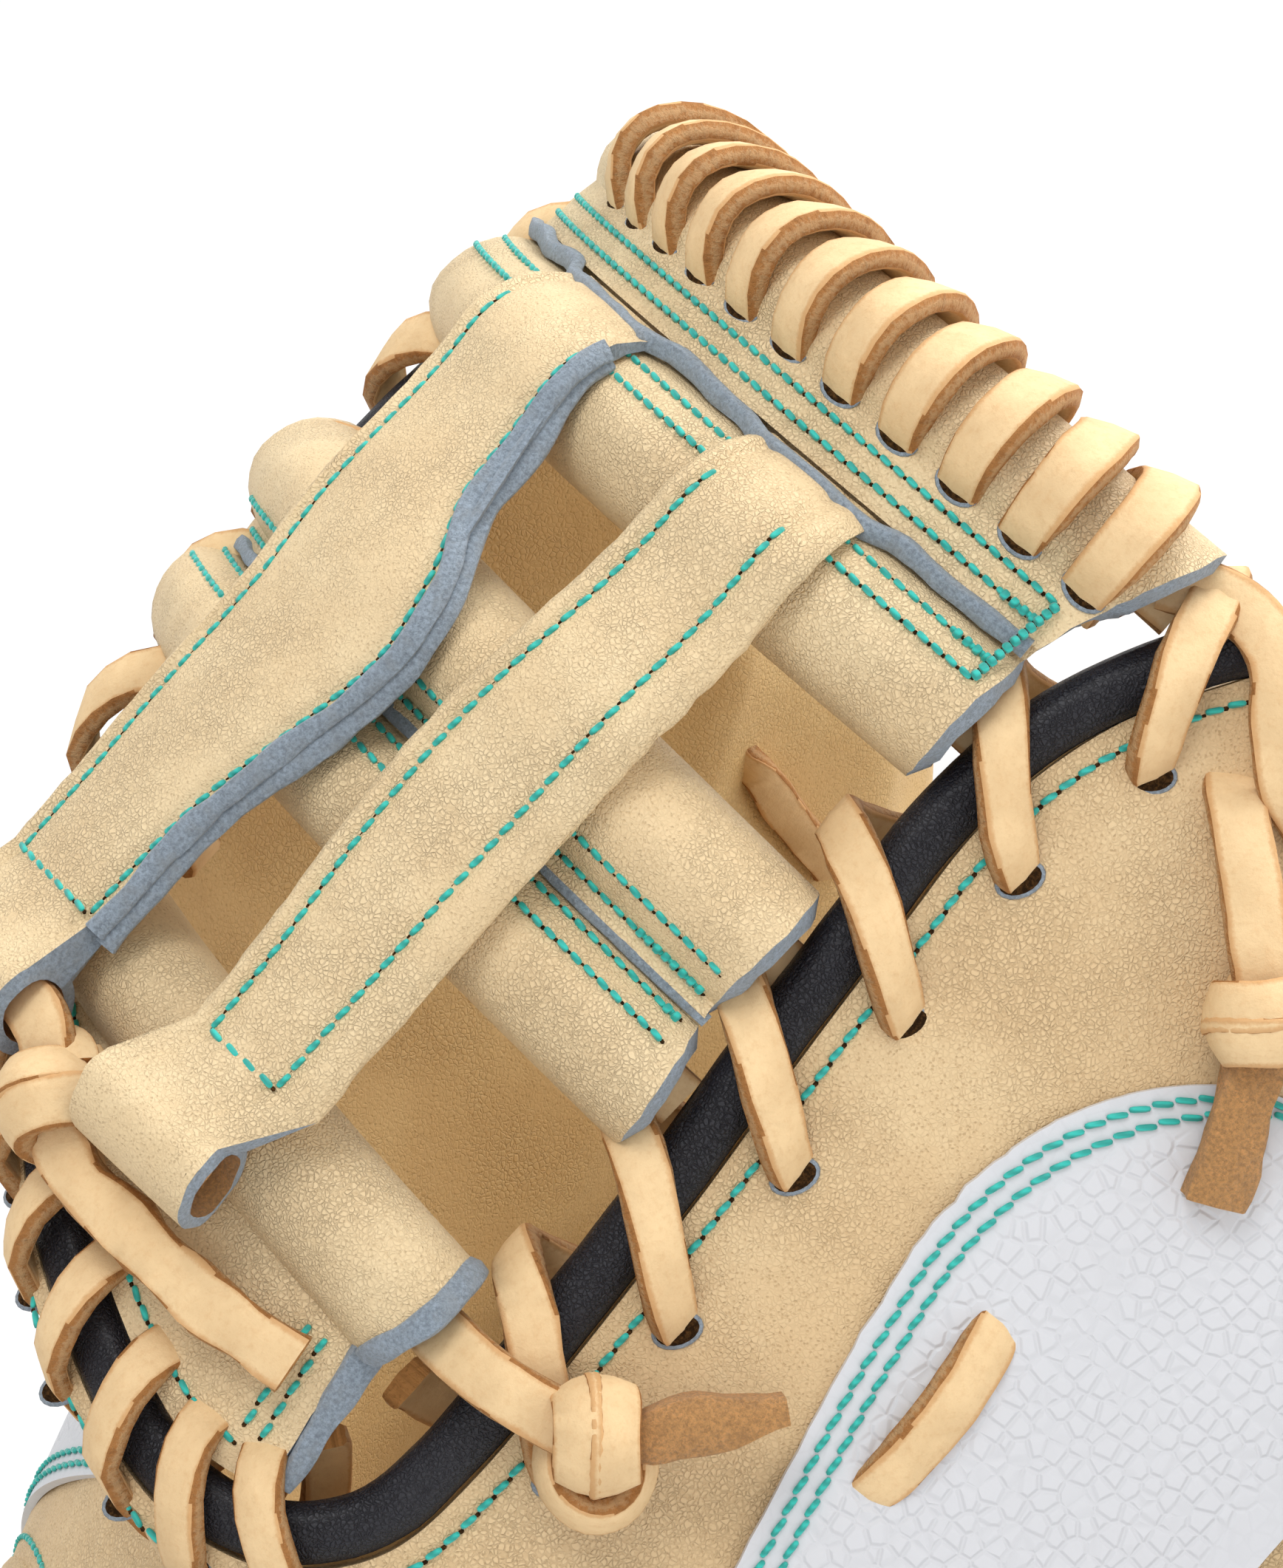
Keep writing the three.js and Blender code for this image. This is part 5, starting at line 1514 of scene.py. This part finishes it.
CAMERA_PLACE = Vector((550.646, 88.39, 343.173)) / 1000
CAMERA_BACK = Vector((0.9063, 0, 0.4226))  # the way from what it looks at
CAMERA_ROLL = math.radians(-40)
CAMERA_SENSOR = 24
CAMERA_LENS = CAMERA_SENSOR * 7051.28 / 2122
FLOOR_HALF, SKY = 6.0, 0.68
LAMPS = {  # place, size, power
    "key_light": ((0.75, 0.75, 1.5), 0.8, 11),
    "front_light": ((1.7, -0.25, 0.85), 0.9, 3),
    "mouth_light": ((-0.15, 1.5, 0.3), 0.7, 16),
    "back_light": ((-1.3, -0.4, 1.1), 1.2, 3),
}


def studio():
    """A pale floor, soft lights, and the camera at the photograph's angle."""
    bm = bmesh.new()
    bmesh.ops.create_grid(bm, x_segments=8, y_segments=8, size=FLOOR_HALF)
    mesh = mesh_of("floor", bm)
    mesh.materials.append(finishes()["floor"])
    linked(bpy.data.objects.new("floor", mesh))

    camera = linked(bpy.data.objects.new("camera", bpy.data.cameras.new("camera")))
    camera.data.sensor_fit = "AUTO"
    camera.data.sensor_width = CAMERA_SENSOR
    camera.data.lens = CAMERA_LENS
    camera.data.clip_start, camera.data.clip_end = 0.01, 50
    upright = Vector((0, 1, 0))
    up = upright * math.cos(CAMERA_ROLL) + upright.cross(CAMERA_BACK) * math.sin(CAMERA_ROLL)
    camera.matrix_world = axes_at(CAMERA_PLACE, up.cross(CAMERA_BACK), up, CAMERA_BACK)
    bpy.context.scene.camera = camera

    for name, (place, size, power) in LAMPS.items():
        light = bpy.data.lights.new(name, "AREA")
        light.size, light.energy = size, power
        lamp = linked(bpy.data.objects.new(name, light))
        lamp.location = place
        lamp.rotation_euler = Vector(place).to_track_quat("Z", "Y").to_euler()
    world = bpy.data.worlds.new("studio")
    world.use_nodes = True
    background = world.node_tree.nodes["Background"]
    background.inputs["Color"].default_value = (1, 1, 1, 1)
    background.inputs["Strength"].default_value = SKY
    bpy.context.scene.world = world
    bpy.context.scene.view_settings.view_transform = "Standard"


# The add-on

class MittOperator:
    bl_options = {"REGISTER", "UNDO"}


class MITT_OT_studio(MittOperator, bpy.types.Operator):
    """Make the floor, the lights and the camera"""
    bl_idname = "mitt.studio"
    bl_label = "Studio"

    def execute(self, context):
        studio()
        return {"FINISHED"}


class MITT_OT_palm(MittOperator, bpy.types.Operator):
    """Make the padded palm"""
    bl_idname = "mitt.palm"
    bl_label = "Palm"

    def execute(self, context):
        palm_pad()
        return {"FINISHED"}


class MITT_OT_back(MittOperator, bpy.types.Operator):
    """Make the leather back"""
    bl_idname = "mitt.back"
    bl_label = "Back"

    def execute(self, context):
        back_leather()
        opening_hem()
        return {"FINISHED"}


class MITT_OT_binding(MittOperator, bpy.types.Operator):
    """Make the binding round the edge"""
    bl_idname = "mitt.binding"
    bl_label = "Binding"

    def execute(self, context):
        binding_roll()
        return {"FINISHED"}


class MITT_OT_bars(MittOperator, bpy.types.Operator):
    """Make the rolled bars of the web"""
    bl_idname = "mitt.bars"
    bl_label = "Web Bars"

    def execute(self, context):
        web_bars()
        return {"FINISHED"}


class MITT_OT_posts(MittOperator, bpy.types.Operator):
    """Make the two straps down the web"""
    bl_idname = "mitt.posts"
    bl_label = "Web Posts"

    def execute(self, context):
        web_posts()
        return {"FINISHED"}


class MITT_OT_raw_edges(MittOperator, bpy.types.Operator):
    """Make the fuzzy raw edges along the web's seams"""
    bl_idname = "mitt.raw_edges"
    bl_label = "Raw Edges"

    def execute(self, context):
        raw_edges()
        return {"FINISHED"}


class MITT_OT_windings(MittOperator, bpy.types.Operator):
    """Make the laces wound round the top bar and the web's edge"""
    bl_idname = "mitt.windings"
    bl_label = "Winding Laces"

    def execute(self, context):
        winding_laces()
        lace_holes()
        return {"FINISHED"}


class MITT_OT_tube_laces(MittOperator, bpy.types.Operator):
    """Make the laces inside the bars"""
    bl_idname = "mitt.tube_laces"
    bl_label = "Tube Laces"

    def execute(self, context):
        tube_laces()
        return {"FINISHED"}


class MITT_OT_knots(MittOperator, bpy.types.Operator):
    """Make the knotted lace ends"""
    bl_idname = "mitt.knots"
    bl_label = "Knots"

    def execute(self, context):
        knots()
        return {"FINISHED"}


class MITT_OT_single_stitches(MittOperator, bpy.types.Operator):
    """Make the single stitches of lace"""
    bl_idname = "mitt.single_stitches"
    bl_label = "Single Stitches"

    def execute(self, context):
        single_stitches()
        return {"FINISHED"}


class MITT_OT_panels(MittOperator, bpy.types.Operator):
    """Make the embossed white panels"""
    bl_idname = "mitt.panels"
    bl_label = "White Panels"

    def execute(self, context):
        panels()
        return {"FINISHED"}


class MITT_OT_sewing(MittOperator, bpy.types.Operator):
    """Make the rows of thread"""
    bl_idname = "mitt.sewing"
    bl_label = "Sewing"

    def execute(self, context):
        sewing()
        return {"FINISHED"}


OPERATORS = (
    MITT_OT_studio,
    MITT_OT_palm,
    MITT_OT_back,
    MITT_OT_binding,
    MITT_OT_bars,
    MITT_OT_posts,
    MITT_OT_raw_edges,
    MITT_OT_windings,
    MITT_OT_tube_laces,
    MITT_OT_knots,
    MITT_OT_single_stitches,
    MITT_OT_panels,
    MITT_OT_sewing,
)


class MITT_PT_pieces(bpy.types.Panel):
    bl_label = "Catcher's Mitt"
    bl_idname = "MITT_PT_pieces"
    bl_space_type = "VIEW_3D"
    bl_region_type = "UI"
    bl_category = "Mitt"

    def draw(self, context):
        for group in (context.scene.mitt_sizes, context.scene.mitt_colours):
            column = self.layout.column(align=True)
            for key in group.__annotations__:
                column.prop(group, key)
        column = self.layout.column(align=True)
        for kind in OPERATORS:
            column.operator(kind.bl_idname)


CLASSES = (MittSizes, MittColours, *OPERATORS, MITT_PT_pieces)


def register():
    for kind in CLASSES:
        bpy.utils.register_class(kind)
    bpy.types.Scene.mitt_sizes = PointerProperty(type=MittSizes)
    bpy.types.Scene.mitt_colours = PointerProperty(type=MittColours)


def unregister():
    del bpy.types.Scene.mitt_colours
    del bpy.types.Scene.mitt_sizes
    for kind in reversed(CLASSES):
        bpy.utils.unregister_class(kind)


def main():
    register()
    for kind in OPERATORS:
        group, name = kind.bl_idname.split(".")
        getattr(getattr(bpy.ops, group), name)()


if __name__ == "__main__":
    main()
